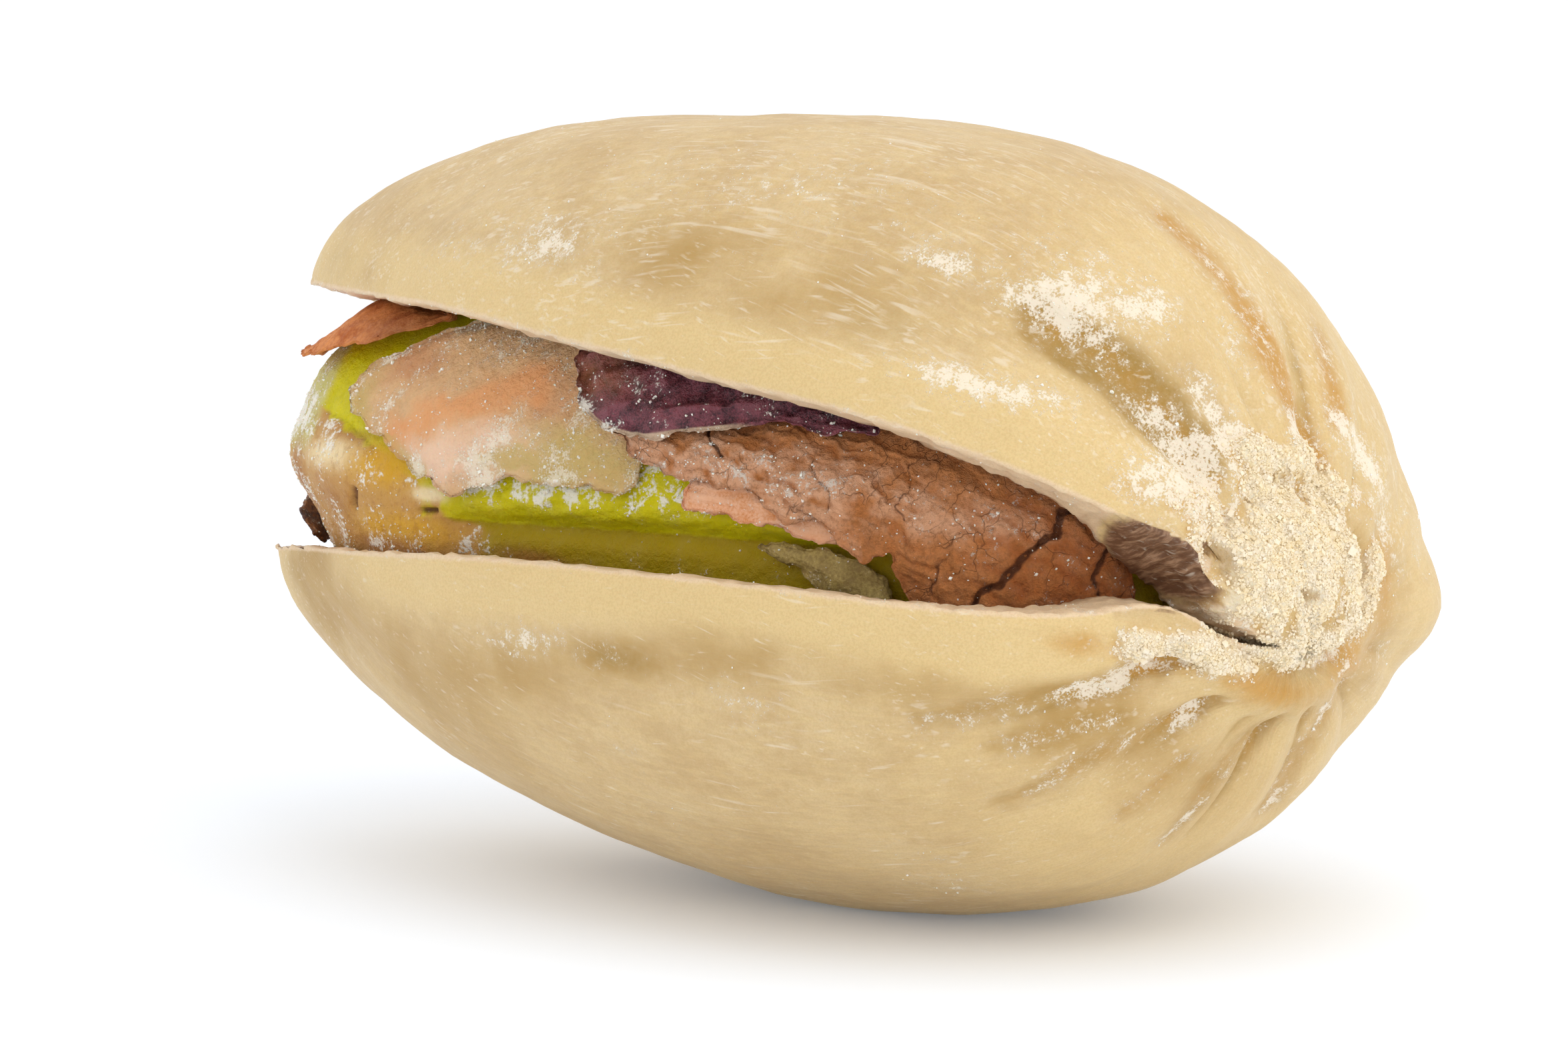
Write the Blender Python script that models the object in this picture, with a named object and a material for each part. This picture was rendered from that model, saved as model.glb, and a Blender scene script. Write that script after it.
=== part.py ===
"""A roasted pistachio in its split shell, lying on its lower valve.

The nut's own frame has +X from the shell's tip to the stem scar, -Y to the wide front split and +Z
up through the upper valve. The suture plane is Z = 0. The whole nut is then tilted to its rest.
Blender 4.5, metres, +Z up in the world.
"""

import math

import bmesh
import bpy
import numpy as np
from mathutils import Matrix

MM = 0.001

# Shell: half sizes of the closed form, which the split then parts
SHELL_HALF_LENGTH = 10.6 * MM
SHELL_HALF_WIDTH = 6.16 * MM
UPPER_DEPTH = 4.90 * MM
LOWER_DEPTH = 4.80 * MM
WALL = 0.8 * MM
TIP_WALL = 0.7 * MM
BASE_WALL = 1.25 * MM
RIM_BEVEL = 0.05 * MM

# How the form swells towards the scar, as powers of the place along the length from -1 to 1
WIDTH_EGG = (0.331, -0.056, 0.276)
UPPER_EGG = (0.36, 0.145, -0.044)
LOWER_EGG = (0.29, -0.113, 0.064)
SCAR_TURN = math.radians(7.7)

# Rim heights in mm at shares of the way from the tip (0) to the scar (1)
FRONT_RIM_UPPER = (
    (0.0, 2.95), (0.12, 2.89), (0.26, 2.76), (0.375, 2.62), (0.45, 2.37), (0.51, 2.24), (0.59, 2.01),
    (0.685, 1.80), (0.757, 1.46), (0.806, 1.20), (0.85, 0.91), (0.879, 0.72), (0.903, 0.64),
    (0.918, 0.36), (0.934, -0.22), (0.954, -0.55), (0.975, -0.68), (1.0, -0.74),
)
FRONT_RIM_LOWER = (
    (0.0, -1.52), (0.2, -1.42), (0.31, -1.37), (0.375, -1.27), (0.45, -1.15), (0.51, -1.10), (0.636, -0.99),
    (0.757, -0.90), (0.806, -0.80), (0.85, -0.62), (0.879, -0.39), (0.9, -0.33), (0.925, -0.54),
    (0.94, -0.70), (0.96, -0.81), (0.985, -0.79), (1.0, -0.74),
)
BACK_RIM_UPPER = (
    (0.0, 2.95), (0.26, 2.60), (0.5, 1.85), (0.66, 1.15), (0.74, 0.72), (0.79, 0.42), (0.84, 0.35),
    (0.9, 0.20), (0.95, -0.2), (1.0, -0.74),
)
BACK_RIM_LOWER = (
    (0.0, -1.52), (0.3, -1.1), (0.5, -0.6), (0.66, -0.1), (0.74, 0.2), (0.79, 0.36), (0.84, 0.35),
    (0.9, 0.20), (0.95, -0.2), (1.0, -0.74),
)
FRONT_SPLIT_END = 0.98
BACK_SPLIT_END = 0.80
# Near the scar the shell is thick, and the upper rim's inner edge hangs lower than its outer one
INNER_LIP_DROP = 0.62 * MM
INNER_LIP_PLACE = 0.9
LOWER_TIP_BACK = 0.2 * MM

# Shell mesh: places of its rows, as angles from the tip, and columns for each valve's two faces
ROW_STRETCHES = ((0.0, 2.2, 18), (2.2, 2.7, 7), (2.7, math.pi, 11))
OUTER_COLUMNS = 34
INNER_COLUMNS = 12

# Furrows that fan out from the scar: angle over the valve, half width in radians, depth in mm, start share
UPPER_FURROWS = (
    (0.58, 0.11, 0.26, 0.66), (0.90, 0.07, 0.14, 0.76), (1.24, 0.08, 0.22, 0.72), (1.72, 0.10, 0.34, 0.70),
    (2.16, 0.08, 0.20, 0.70), (2.55, 0.08, 0.14, 0.72), (2.86, 0.07, 0.10, 0.74),
)
LOWER_FURROWS = (
    (0.55, 0.09, 0.26, 0.68), (0.80, 0.05, 0.10, 0.72), (1.06, 0.08, 0.28, 0.68), (1.36, 0.06, 0.14, 0.74),
    (1.68, 0.08, 0.30, 0.70), (2.00, 0.08, 0.24, 0.72), (2.42, 0.09, 0.20, 0.72), (2.80, 0.08, 0.14, 0.74),
)
# Soft hollows: share along, angle over the valve, their half widths, depth in mm
UPPER_HOLLOWS = ((0.72, 0.44, 0.12, 0.18, 0.30), (0.30, 0.75, 0.09, 0.30, 0.12), (0.48, 1.45, 0.08, 0.30, 0.10))
LOWER_HOLLOWS = ((0.535, 0.30, 0.09, 0.09, 0.22), (0.25, 0.60, 0.08, 0.25, 0.12), (0.62, 1.10, 0.09, 0.25, 0.08))

# Stem scar: a low boss over the end of the front split, with a ditch and an outer collar
SCAR_SHARE = 0.958
SCAR_ANGLE = 1.3
SCAR_RADIUS = 1.5 * MM
SCAR_FLATTEN = 1.25
SCAR_HEIGHT = 0.34 * MM
DITCH_RADIUS = 1.85 * MM
COLLAR_RADIUS = 2.3 * MM
KEEL_HEIGHT = 0.5 * MM
KEEL_SHARE = 0.83

# Kernel: half sizes about its own centre, in the nut's frame
KERNEL_CENTRE = (-0.58 * MM, 0.0, 0.15 * MM)
KERNEL_HALF_LENGTH = 9.52 * MM
KERNEL_HALF_WIDTH = 4.75 * MM
KERNEL_HALF_HEIGHT = 4.45 * MM
KERNEL_WIDTH_EGG = (0.33, 0.14, 0.06)
KERNEL_HEIGHT_EGG = (0.06, 0.10)
KERNEL_ROWS = 32
LOBE_COLUMNS = 22
SEAM_CROWDING = 0.74
SEAM_HEIGHT = -0.45 * MM
SEAM_SLOPE = 0.055
LOWER_LOBE_INSET = 0.26 * MM
CLEFT_DEPTH = 0.34 * MM
GERM_PLACE = (-7.7 * MM, -0.05 * MM)
GERM_REACH = (1.9 * MM, 0.9 * MM)
GERM_HEIGHT = 0.34 * MM
TIP_INSET = 0.36 * MM
SHOULDER_PLACE = (-8.8 * MM, 1.6 * MM)
SHOULDER_REACH = (1.3 * MM, 0.9 * MM)
SHOULDER_HEIGHT = 0.24 * MM

# Seed coat
COAT_THICKNESS = 0.15 * MM

# How the nut lies: turned back about its length, then down at the stem end
REST_ROLL = math.radians(13.3)
REST_PITCH = math.radians(1.9)
FLAT_DEPTH = 0.14 * MM

UPPER, LOWER = 1, -1
OUTER, INNER = "outer", "inner"


def clear_scene():
    for old in list(bpy.data.objects):
        bpy.data.objects.remove(old)


def ease(value):
    """0 below 0, 1 above 1 and a smooth step between."""
    value = np.clip(value, 0.0, 1.0)
    return value * value * (3 - 2 * value)


def bump(value, centre, reach):
    return np.exp(-(((value - centre) / reach) ** 2))


def curve(points, place):
    """A smooth curve through (place, height) points, read at place."""
    places, heights = np.array(points, float).T
    slopes = np.gradient(heights, places)
    place = np.clip(place, places[0], places[-1])
    left = np.clip(np.searchsorted(places, place, side="right") - 1, 0, len(places) - 2)
    span = places[left + 1] - places[left]
    t = (place - places[left]) / span
    return (
        (1 + 2 * t) * (1 - t) ** 2 * heights[left]
        + t * (1 - t) ** 2 * span * slopes[left]
        + t * t * (3 - 2 * t) * heights[left + 1]
        + t * t * (t - 1) * span * slopes[left + 1]
    )


def egg(place, powers):
    return 1 + sum(share * place ** (k + 1) for k, share in enumerate(powers))


def material(name, colour, roughness):
    made = bpy.data.materials.new(name)
    made.use_nodes = True
    shader = made.node_tree.nodes["Principled BSDF"]
    shader.inputs["Base Color"].default_value = (*colour, 1.0)
    shader.inputs["Roughness"].default_value = roughness
    shader.inputs["Metallic"].default_value = 0.0
    return made


def finish_piece(name, work, finish):
    """Turns a bmesh into a smooth-shaded object of one material."""
    mesh = bpy.data.meshes.new(name)
    work.to_mesh(mesh)
    work.free()
    piece = bpy.data.objects.new(name, mesh)
    bpy.context.scene.collection.objects.link(piece)
    mesh.materials.append(finish)
    mesh.shade_smooth()
    mesh.set_sharp_from_angle(angle=math.radians(50))
    return piece


# Shell

def shell_form(theta, phi, valve, face):
    """A point of the smooth shell. theta runs from the tip to the scar, phi from the front rim to the back."""
    along, across, over = -np.cos(theta), -np.sin(theta) * np.cos(phi), np.sin(theta) * np.sin(phi)
    turn = SCAR_TURN * ease((along + 0.3) / 1.3)
    along, across = along * np.cos(turn) + across * np.sin(turn), across * np.cos(turn) - along * np.sin(turn)
    depth, eggs = (UPPER_DEPTH, UPPER_EGG) if valve == UPPER else (LOWER_DEPTH, LOWER_EGG)
    width, start, end = SHELL_HALF_WIDTH, -SHELL_HALF_LENGTH, SHELL_HALF_LENGTH
    if face == INNER:
        depth, width, start, end = depth - WALL, width - WALL, start + TIP_WALL, end - BASE_WALL
    share = theta / math.pi
    front = curve(FRONT_RIM_UPPER if valve == UPPER else FRONT_RIM_LOWER, share) * MM
    back = curve(BACK_RIM_UPPER if valve == UPPER else BACK_RIM_LOWER, share) * MM
    turn_over = 0.2 if valve == UPPER else 0.45
    lift = front + (back - front) * ease((phi / math.pi - turn_over) / (1 - turn_over))
    if valve == UPPER and face == INNER:
        lift = lift - INNER_LIP_DROP * bump(share, INNER_LIP_PLACE, 0.03) * bump(phi, 0, 0.5)
    if valve == LOWER:
        start = start + LOWER_TIP_BACK * (1 - ease(share / 0.3))
    return np.stack(
        [
            (start + end) / 2 + (end - start) / 2 * along,
            width * egg(along, WIDTH_EGG) * across,
            valve * depth * egg(along, eggs) * over + lift,
        ],
        -1,
    )


def shell_normal(theta, phi, valve):
    """The outward normal, from two short steps over the smooth form."""
    step = 1e-3
    theta = np.clip(theta, 0.02, math.pi - 0.02)
    down = shell_form(theta + step, phi, valve, OUTER) - shell_form(theta - step, phi, valve, OUTER)
    round_ = shell_form(theta, phi + step, valve, OUTER) - shell_form(theta, phi - step, valve, OUTER)
    normal = np.cross(down, round_) * valve
    return normal / np.linalg.norm(normal, axis=-1, keepdims=True)


def shell_relief(theta, phi, valve, point):
    """How far the outer face stands out of the smooth form: furrows, hollows, the scar and the back keel."""
    share = theta / math.pi
    height = np.zeros_like(theta)
    for angle, reach, depth, start in UPPER_FURROWS if valve == UPPER else LOWER_FURROWS:
        fade = ease((share - start) / 0.14) * (1 - ease((share - 0.90) / 0.05))
        height = height - depth * MM * bump(phi, angle, reach) * fade
    for place, angle, length, breadth, depth in UPPER_HOLLOWS if valve == UPPER else LOWER_HOLLOWS:
        height = height - depth * MM * bump(share, place, length) * bump(phi, angle, breadth)
    centre = shell_form(np.array(SCAR_SHARE * math.pi), np.array(SCAR_ANGLE), UPPER, OUTER)
    reach = np.linalg.norm((point - centre) * (1, 1, SCAR_FLATTEN), axis=-1)
    height = height + SCAR_HEIGHT * np.exp(-((reach / SCAR_RADIUS) ** 4))
    height = height - 0.16 * MM * bump(reach, DITCH_RADIUS, 0.22 * MM)
    height = height + 0.12 * MM * bump(reach, COLLAR_RADIUS, 0.3 * MM)
    keel = bump(phi, math.pi, 0.27) * bump(share, KEEL_SHARE, 0.05)
    return height + KEEL_HEIGHT * keel


def shell_key(face, row, valve, column, rows, columns):
    """The name of a grid point. Points of the two valves are the same one where the shell isn't split."""
    last = len(rows) - 1
    share = rows[row] / math.pi
    if row in (0, last):
        column = 0
    if row == last or (column == 0 and row and share > FRONT_SPLIT_END):
        valve = UPPER
    if column == columns and share > BACK_SPLIT_END:
        valve = UPPER
    return face, row, valve, column


def shell_rows():
    parts = [np.linspace(start, end, count, endpoint=False) for start, end, count in ROW_STRETCHES]
    return np.append(np.concatenate(parts), math.pi)


def shell_points(rows, face, valve, columns):
    """All points of one face of one valve, with its relief if it is the outer one."""
    theta, phi = np.meshgrid(rows, np.linspace(0, math.pi, columns + 1), indexing="ij")
    points = shell_form(theta, phi, valve, face)
    if face == INNER:
        return points
    relief = shell_relief(theta, phi, valve, points)
    points = points + shell_normal(theta, phi, valve) * relief[..., None]
    share = theta / math.pi
    points[:, 0, 2] += valve * RIM_BEVEL * (1 - ease((share[:, 0] - 0.85) / 0.1))
    points[:, -1, 2] += valve * RIM_BEVEL * (1 - ease((share[:, -1] - 0.7) / 0.1))
    return points


def lie_flat(points, pose, floor):
    """Points that would reach under the floor are brought up to it, which leaves the flat resting spot."""
    turn = np.array(pose.to_3x3())
    world = points @ turn.T
    world[..., 2] = np.maximum(world[..., 2], floor)
    return world @ turn


def make_shell(finish, pose, floor):
    rows = shell_rows()
    work = bmesh.new()
    made = {}

    def corner(face, row, valve, column, columns):
        return made[shell_key(face, row, valve, column, rows, columns)]

    for face, columns in ((OUTER, OUTER_COLUMNS), (INNER, INNER_COLUMNS)):
        for valve in (UPPER, LOWER):
            points = shell_points(rows, face, valve, columns)
            if face == OUTER:
                points = lie_flat(points, pose, floor)
            for row in range(len(rows)):
                for column in range(columns + 1):
                    key = shell_key(face, row, valve, column, rows, columns)
                    if key not in made:
                        made[key] = work.verts.new(points[row, column])
            for row in range(len(rows) - 1):
                for column in range(columns):
                    ring = [(row, column), (row, column + 1), (row + 1, column + 1), (row + 1, column)]
                    around = dict.fromkeys(corner(face, r, valve, c, columns) for r, c in ring)
                    work.faces.new(around)
    for valve in (UPPER, LOWER):
        for outer_column, inner_column, end in (
            (0, 0, FRONT_SPLIT_END),
            (OUTER_COLUMNS, INNER_COLUMNS, BACK_SPLIT_END),
        ):
            for row in range(len(rows) - 1):
                if rows[row] / math.pi > end:
                    break
                work.faces.new(
                    (
                        corner(OUTER, row, valve, outer_column, OUTER_COLUMNS),
                        corner(OUTER, row + 1, valve, outer_column, OUTER_COLUMNS),
                        corner(INNER, row + 1, valve, inner_column, INNER_COLUMNS),
                        corner(INNER, row, valve, inner_column, INNER_COLUMNS),
                    )
                )
    bmesh.ops.recalc_face_normals(work, faces=work.faces)
    return finish_piece("shell", work, finish)


# Kernel

def kernel_form(along, across, over):
    """The smooth kernel's point in the direction (along, across, over), a unit vector."""
    half_width = KERNEL_HALF_WIDTH * egg(along, KERNEL_WIDTH_EGG)
    half_height = KERNEL_HALF_HEIGHT * egg(along, KERNEL_HEIGHT_EGG)
    centre = np.array(KERNEL_CENTRE)
    return centre + np.stack([KERNEL_HALF_LENGTH * along, half_width * across, half_height * over], -1)


def kernel_normal(along, across, over):
    half_width = KERNEL_HALF_WIDTH * egg(along, KERNEL_WIDTH_EGG)
    half_height = KERNEL_HALF_HEIGHT * egg(along, KERNEL_HEIGHT_EGG)
    normal = np.stack([along / KERNEL_HALF_LENGTH, across / half_width, over / half_height], -1)
    return normal / np.linalg.norm(normal, axis=-1, keepdims=True)


def seam_height(x):
    return SEAM_HEIGHT + SEAM_SLOPE * x


def kernel_relief(point):
    """The two seed leaves with the cleft between them, and the germ at the tip end of the front."""
    x, y, z = np.moveaxis(point, -1, 0)
    above = z - seam_height(x)
    parted = ease((x + 5.2 * MM) / (1.6 * MM)) * (1 - ease((x - 6.5 * MM) / (1.5 * MM)))
    height = -LOWER_LOBE_INSET * (1 - ease((above + 0.12 * MM) / (0.16 * MM))) * parted
    height = height - CLEFT_DEPTH * bump(above, 0, 0.14 * MM) * parted
    tip = 1 - ease((x + 9.2 * MM) / (4.5 * MM))
    height = height - TIP_INSET * tip * (1 - ease((z + 1.0 * MM) / (1.2 * MM)))
    shoulder = bump(x, SHOULDER_PLACE[0], SHOULDER_REACH[0]) * bump(z, SHOULDER_PLACE[1], SHOULDER_REACH[1])
    height = height + SHOULDER_HEIGHT * shoulder
    front = ease(0.5 - y / (1.5 * MM))
    germ = bump(x, GERM_PLACE[0], GERM_REACH[0]) * bump(z, GERM_PLACE[1], GERM_REACH[1])
    height = height + GERM_HEIGHT * germ * front
    crease = bump(z, 0.95 * MM + 0.1 * (x + 8 * MM), 0.16 * MM) * bump(x, -7.9 * MM, 1.2 * MM)
    height = height - 0.16 * MM * crease * front
    waves = np.sin(x / (1.1 * MM) + 1.3 * np.sin(z / (1.4 * MM))) * np.sin(z / (0.9 * MM) + y / (2 * MM))
    return height + 0.035 * MM * waves


def kernel_point(theta, lobe, share):
    """A point of the kernel. share runs over a lobe from the front seam (0) to the back seam (1)."""
    along, ring = -math.cos(theta), math.sin(theta)
    x = KERNEL_CENTRE[0] + KERNEL_HALF_LENGTH * along
    half_height = KERNEL_HALF_HEIGHT * egg(along, KERNEL_HEIGHT_EGG) * ring
    seam = math.asin(np.clip((seam_height(x) - KERNEL_CENTRE[2]) / max(half_height, MM), -0.45, 0.45))
    share -= SEAM_CROWDING * math.sin(2 * math.pi * share) / (2 * math.pi)
    angle = seam + lobe * (math.pi - lobe * 2 * seam) * share
    facing = np.array((along, -math.cos(angle) * ring, math.sin(angle) * ring))
    point = kernel_form(*facing)
    return point + kernel_normal(*facing) * kernel_relief(point)


def make_kernel(finish):
    work = bmesh.new()
    ends = [work.verts.new(kernel_point(theta, UPPER, 0.0)) for theta in (0.0, math.pi)]
    rings = []
    for row in range(1, KERNEL_ROWS):
        theta = math.pi * row / KERNEL_ROWS
        places = [(UPPER, k / LOBE_COLUMNS) for k in range(LOBE_COLUMNS + 1)]
        places += [(LOWER, k / LOBE_COLUMNS) for k in range(LOBE_COLUMNS - 1, 0, -1)]
        rings.append([work.verts.new(kernel_point(theta, *place)) for place in places])
    around = len(rings[0])
    for k in range(around):
        following = (k + 1) % around
        work.faces.new((ends[0], rings[0][k], rings[0][following]))
        work.faces.new((ends[1], rings[-1][following], rings[-1][k]))
        for low, high in zip(rings, rings[1:]):
            work.faces.new((low[k], high[k], high[following], low[following]))
    bmesh.ops.recalc_face_normals(work, faces=work.faces)
    return finish_piece("kernel", work, finish)


# Seed coat, torn into loose flakes

def along_line(points, shares):
    """Points on a broken line, in mm, at shares of its length."""
    points = np.array(points, float)
    lengths = np.append(0, np.cumsum(np.linalg.norm(np.diff(points, axis=0), axis=1)))
    shares = shares * lengths[-1]
    return np.stack([np.interp(shares, lengths, points[:, k]) for k in (0, 1)], -1)


def spread(bottom, top, across, up):
    """A patch between a bottom and a top line: its places at a grid of shares across and up."""
    low, high = along_line(bottom, across), along_line(top, across)
    return low[:, None] + (high - low)[:, None] * up[None, :, None]


def side_direction(place):
    """The kernel's direction, a unit vector, at an (x, z) place in mm on its front."""
    x, z = place[..., 0] * MM, place[..., 1] * MM
    along = np.clip((x - KERNEL_CENTRE[0]) / KERNEL_HALF_LENGTH, -0.985, 0.985)
    ring = np.sqrt(1 - along**2)
    half_height = KERNEL_HALF_HEIGHT * egg(along, KERNEL_HEIGHT_EGG)
    over = np.clip((z - KERNEL_CENTRE[2]) / half_height, -0.97 * ring, 0.97 * ring)
    return along, -np.sqrt(ring**2 - over**2), over


def end_direction(place):
    """The kernel's direction at a place on its tip end: degrees from the tip to the back, and z in mm."""
    over = (place[..., 1] * MM - KERNEL_CENTRE[2]) / KERNEL_HALF_HEIGHT
    ring = np.sqrt(1 - over**2)
    angle = np.radians(place[..., 0])
    return -np.cos(angle) * ring, np.sin(angle) * ring, over


def make_flake(name, finish, bottom, top, counts, lift, direction=side_direction):
    """A flake of seed coat, laid over the kernel. lift gives its height in mm at shares across and up."""
    across = np.linspace(0, 1, counts[0] + 1)
    up = np.linspace(0, 1, counts[1] + 1)
    places = spread(bottom, top, across, up)
    facing = direction(places)
    heights = lift(across[:, None], up[None, :]) * MM
    points = kernel_form(*facing) + kernel_normal(*facing) * heights[..., None]
    if direction is side_direction:
        past_end = np.abs(facing[0]) > 0.98
        points[..., 0] += np.where(past_end, places[..., 0] * MM - points[..., 0], 0)
    work = bmesh.new()
    grid = [[work.verts.new(point) for point in line] for line in points]
    for left, right in zip(grid, grid[1:]):
        for k in range(counts[1]):
            work.faces.new((left[k], right[k], right[k + 1], left[k + 1]))
    piece = finish_piece(name, work, finish)
    wall = piece.modifiers.new("coat thickness", "SOLIDIFY")
    wall.thickness = COAT_THICKNESS
    wall.offset = 1.0
    return piece


def straw_lift(s, t):
    left_edge = 0.2 * np.exp(-((s / 0.12) ** 2)) * (1 - t)
    swell = 0.22 * bump(s, 0.38, 0.16) * bump(t, 0.35, 0.3)
    return 0.1 + 0.16 * (1 - t) ** 3 * (1 - s) + 0.08 * (1 - ease(s / 0.3)) + left_edge + swell


def flap_lift(s, t):
    return 0.1 + 0.38 * (1 - t) ** 1.5 * (1 - 0.4 * s**2) + 0.16 * (1 - s)


def plum_lift(s, t):
    left = 0.1 * t * (1 - ease(s / 0.3))
    return 0.6 - left - 0.18 * ease((s - 0.4) / 0.4) + 0.1 * (1 - t) ** 2 + 0.02 * np.sin(9 * s + 2 * t)


def russet_lift(s, t):
    left_edge = 0.2 * (1 - ease(s / 0.28))
    over_under = 0.28 * (1 - ease((s - 0.52) / 0.1)) * (1 - ease((t - 0.15) / 0.35))
    return 0.14 + np.maximum(left_edge, over_under) + 0.02 * np.sin(11 * s + 3 * t) * np.sin(6 * t)


def under_lift(s, t):
    return 0.12 + 0.04 * (1 - t) + 0 * s


def olive_lift(s, t):
    return -0.1 + 0.04 * (1 - s) + 0 * t


def end_lift(s, t):
    return -0.14 + 0.2 * t**2 + 0.03 * np.sin(7 * t + 4 * s)


def make_flakes():
    russet = material("russet seed coat", (0.36, 0.13, 0.05), 0.75)
    plum = material("plum seed coat", (0.07, 0.012, 0.03), 0.45)
    straw = material("straw seed coat", (0.62, 0.36, 0.19), 0.7)
    olive = material("olive seed coat", (0.22, 0.15, 0.04), 0.6)
    return [
        make_flake(
            "coat_straw", straw,
            [(-7.22, 1.1), (-6.93, 0.74), (-6.3, 0.52), (-5.72, 0.26), (-5.25, 0.03), (-4.58, -0.14),
             (-4.16, -0.4), (-3.86, -0.16), (-3.24, 0.04), (-2.64, 0.16), (-2.11, 0.05), (-1.53, 0.16),
             (-0.9, 0.1), (-0.4, 0.08), (-0.15, 0.3)],
            [(-7.17, 1.5), (-6.6, 1.88), (-6.0, 2.14), (-5.4, 2.44), (-4.0, 2.85), (-2.0, 2.75), (-0.2, 2.6)],
            (30, 10), straw_lift,
        ),
        make_flake(
            "coat_flap", russet,
            [(-9.35, 1.52), (-8.9, 1.42), (-8.5, 1.46), (-7.9, 1.66), (-7.0, 1.82), (-6.6, 2.0),
             (-6.1, 2.16), (-5.65, 2.44)],
            [(-9.35, 1.6), (-9.0, 2.0), (-8.6, 2.45), (-8.2, 2.85), (-7.4, 2.96), (-6.7, 2.8),
             (-6.1, 2.62), (-5.65, 2.56)],
            (16, 6), flap_lift,
        ),
        make_flake(
            "coat_plum", plum,
            [(-1.74, 1.95), (-1.66, 1.7), (-1.36, 1.36), (-1.02, 1.08), (-0.55, 0.92), (0.25, 0.88),
             (0.82, 1.02), (1.48, 1.16), (2.0, 1.3), (2.5, 1.42), (3.1, 1.38), (3.65, 1.36), (4.3, 1.42)],
            [(-1.66, 2.5), (-0.7, 2.5), (0.3, 2.42), (2.2, 2.2), (4.3, 1.96)],
            (26, 6), plum_lift,
        ),
        make_flake(
            "coat_russet", russet,
            [(-0.63, 0.98), (-0.33, 0.87), (0.02, 0.61), (0.54, 0.57), (1.01, 0.45), (1.52, 0.43),
             (2.1, 0.45), (2.48, 0.31), (3.05, 0.05), (3.49, 0.06), (3.87, 0.05), (4.1, -0.11),
             (4.23, -0.28), (4.5, -0.37), (4.72, -0.27), (4.85, -0.12), (4.98, -0.4), (5.2, -0.85),
             (5.6, -1.25), (6.6, -1.35), (7.5, -1.2), (8.1, -0.85)],
            [(-0.55, 2.75), (1.0, 2.6), (3.0, 2.4), (5.0, 2.15), (6.6, 1.85), (8.05, 1.2)],
            (40, 10), russet_lift,
        ),
        make_flake(
            "coat_under", russet,
            [(0.9, 0.12), (1.0, -0.04), (1.6, 0.03), (2.2, -0.07), (2.78, -0.05), (3.25, -0.13),
             (3.63, -0.2), (3.96, -0.1)],
            [(1.0, 0.6), (2.0, 0.7), (3.0, 0.5), (3.95, 0.32)],
            (16, 4), under_lift,
        ),
        make_flake(
            "coat_olive", olive,
            [(2.45, -0.42), (2.83, -0.54), (3.17, -0.66), (3.41, -0.8), (3.74, -1.05), (4.3, -1.3), (4.9, -1.3)],
            [(2.5, -0.36), (3.2, -0.34), (3.9, -0.33), (4.4, -0.5), (4.75, -0.6), (4.9, -0.9)],
            (14, 5), olive_lift,
        ),
        make_flake(
            "coat_end", plum,
            [(36, -0.95), (22, -1.15), (4, -1.28), (-10, -1.25)],
            [(36, -0.1), (22, 0.0), (4, -0.3), (-6, -0.75)],
            (10, 5), end_lift, end_direction,
        ),
    ]


def lowest_outside(pose):
    """The lowest point of the smooth shell once the nut is turned to rest."""
    theta, phi = np.meshgrid(np.linspace(0, math.pi, 181), np.linspace(0, math.pi, 91), indexing="ij")
    points = shell_form(theta, phi, LOWER, OUTER)
    return float((points @ np.array(pose.to_3x3()).T)[..., 2].min())


def centre_on_floor(pieces):
    """Moves the nut so that the origin is under the middle of it, on the surface it lies on."""
    bpy.context.view_layer.update()
    graph = bpy.context.evaluated_depsgraph_get()
    corners = [tuple(vertex.co) for piece in pieces for vertex in piece.evaluated_get(graph).data.vertices]
    low, high = np.min(corners, axis=0), np.max(corners, axis=0)
    move = Matrix.Translation((-(low[0] + high[0]) / 2, -(low[1] + high[1]) / 2, -low[2]))
    for piece in pieces:
        piece.data.transform(move)


def main():
    clear_scene()
    pose = Matrix.Rotation(REST_PITCH, 4, "Y") @ Matrix.Rotation(-REST_ROLL, 4, "X")
    floor = lowest_outside(pose) + FLAT_DEPTH
    pieces = [
        make_shell(material("shell ivory", (0.76, 0.60, 0.36), 0.55), pose, floor),
        make_kernel(material("kernel green", (0.45, 0.46, 0.05), 0.55)),
        *make_flakes(),
    ]
    for piece in pieces:
        piece.data.transform(pose)
    centre_on_floor(pieces)


main()
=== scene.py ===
"""Dresses a packed pistachio in its looks: the split shell with its crusted stem scar, the kernel, the torn
seed coat and loose salt. Places in mm are in the nut's own frame: +X from the tip to the scar, -Y towards the
front split and +Z up through the upper valve. Laid out as an add-on and run as a script."""

import math

import bmesh
import bpy
import numpy as np
from bpy.props import FloatProperty, FloatVectorProperty, IntProperty, PointerProperty
from mathutils import Matrix, Vector, noise
from mathutils.kdtree import KDTree


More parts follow.
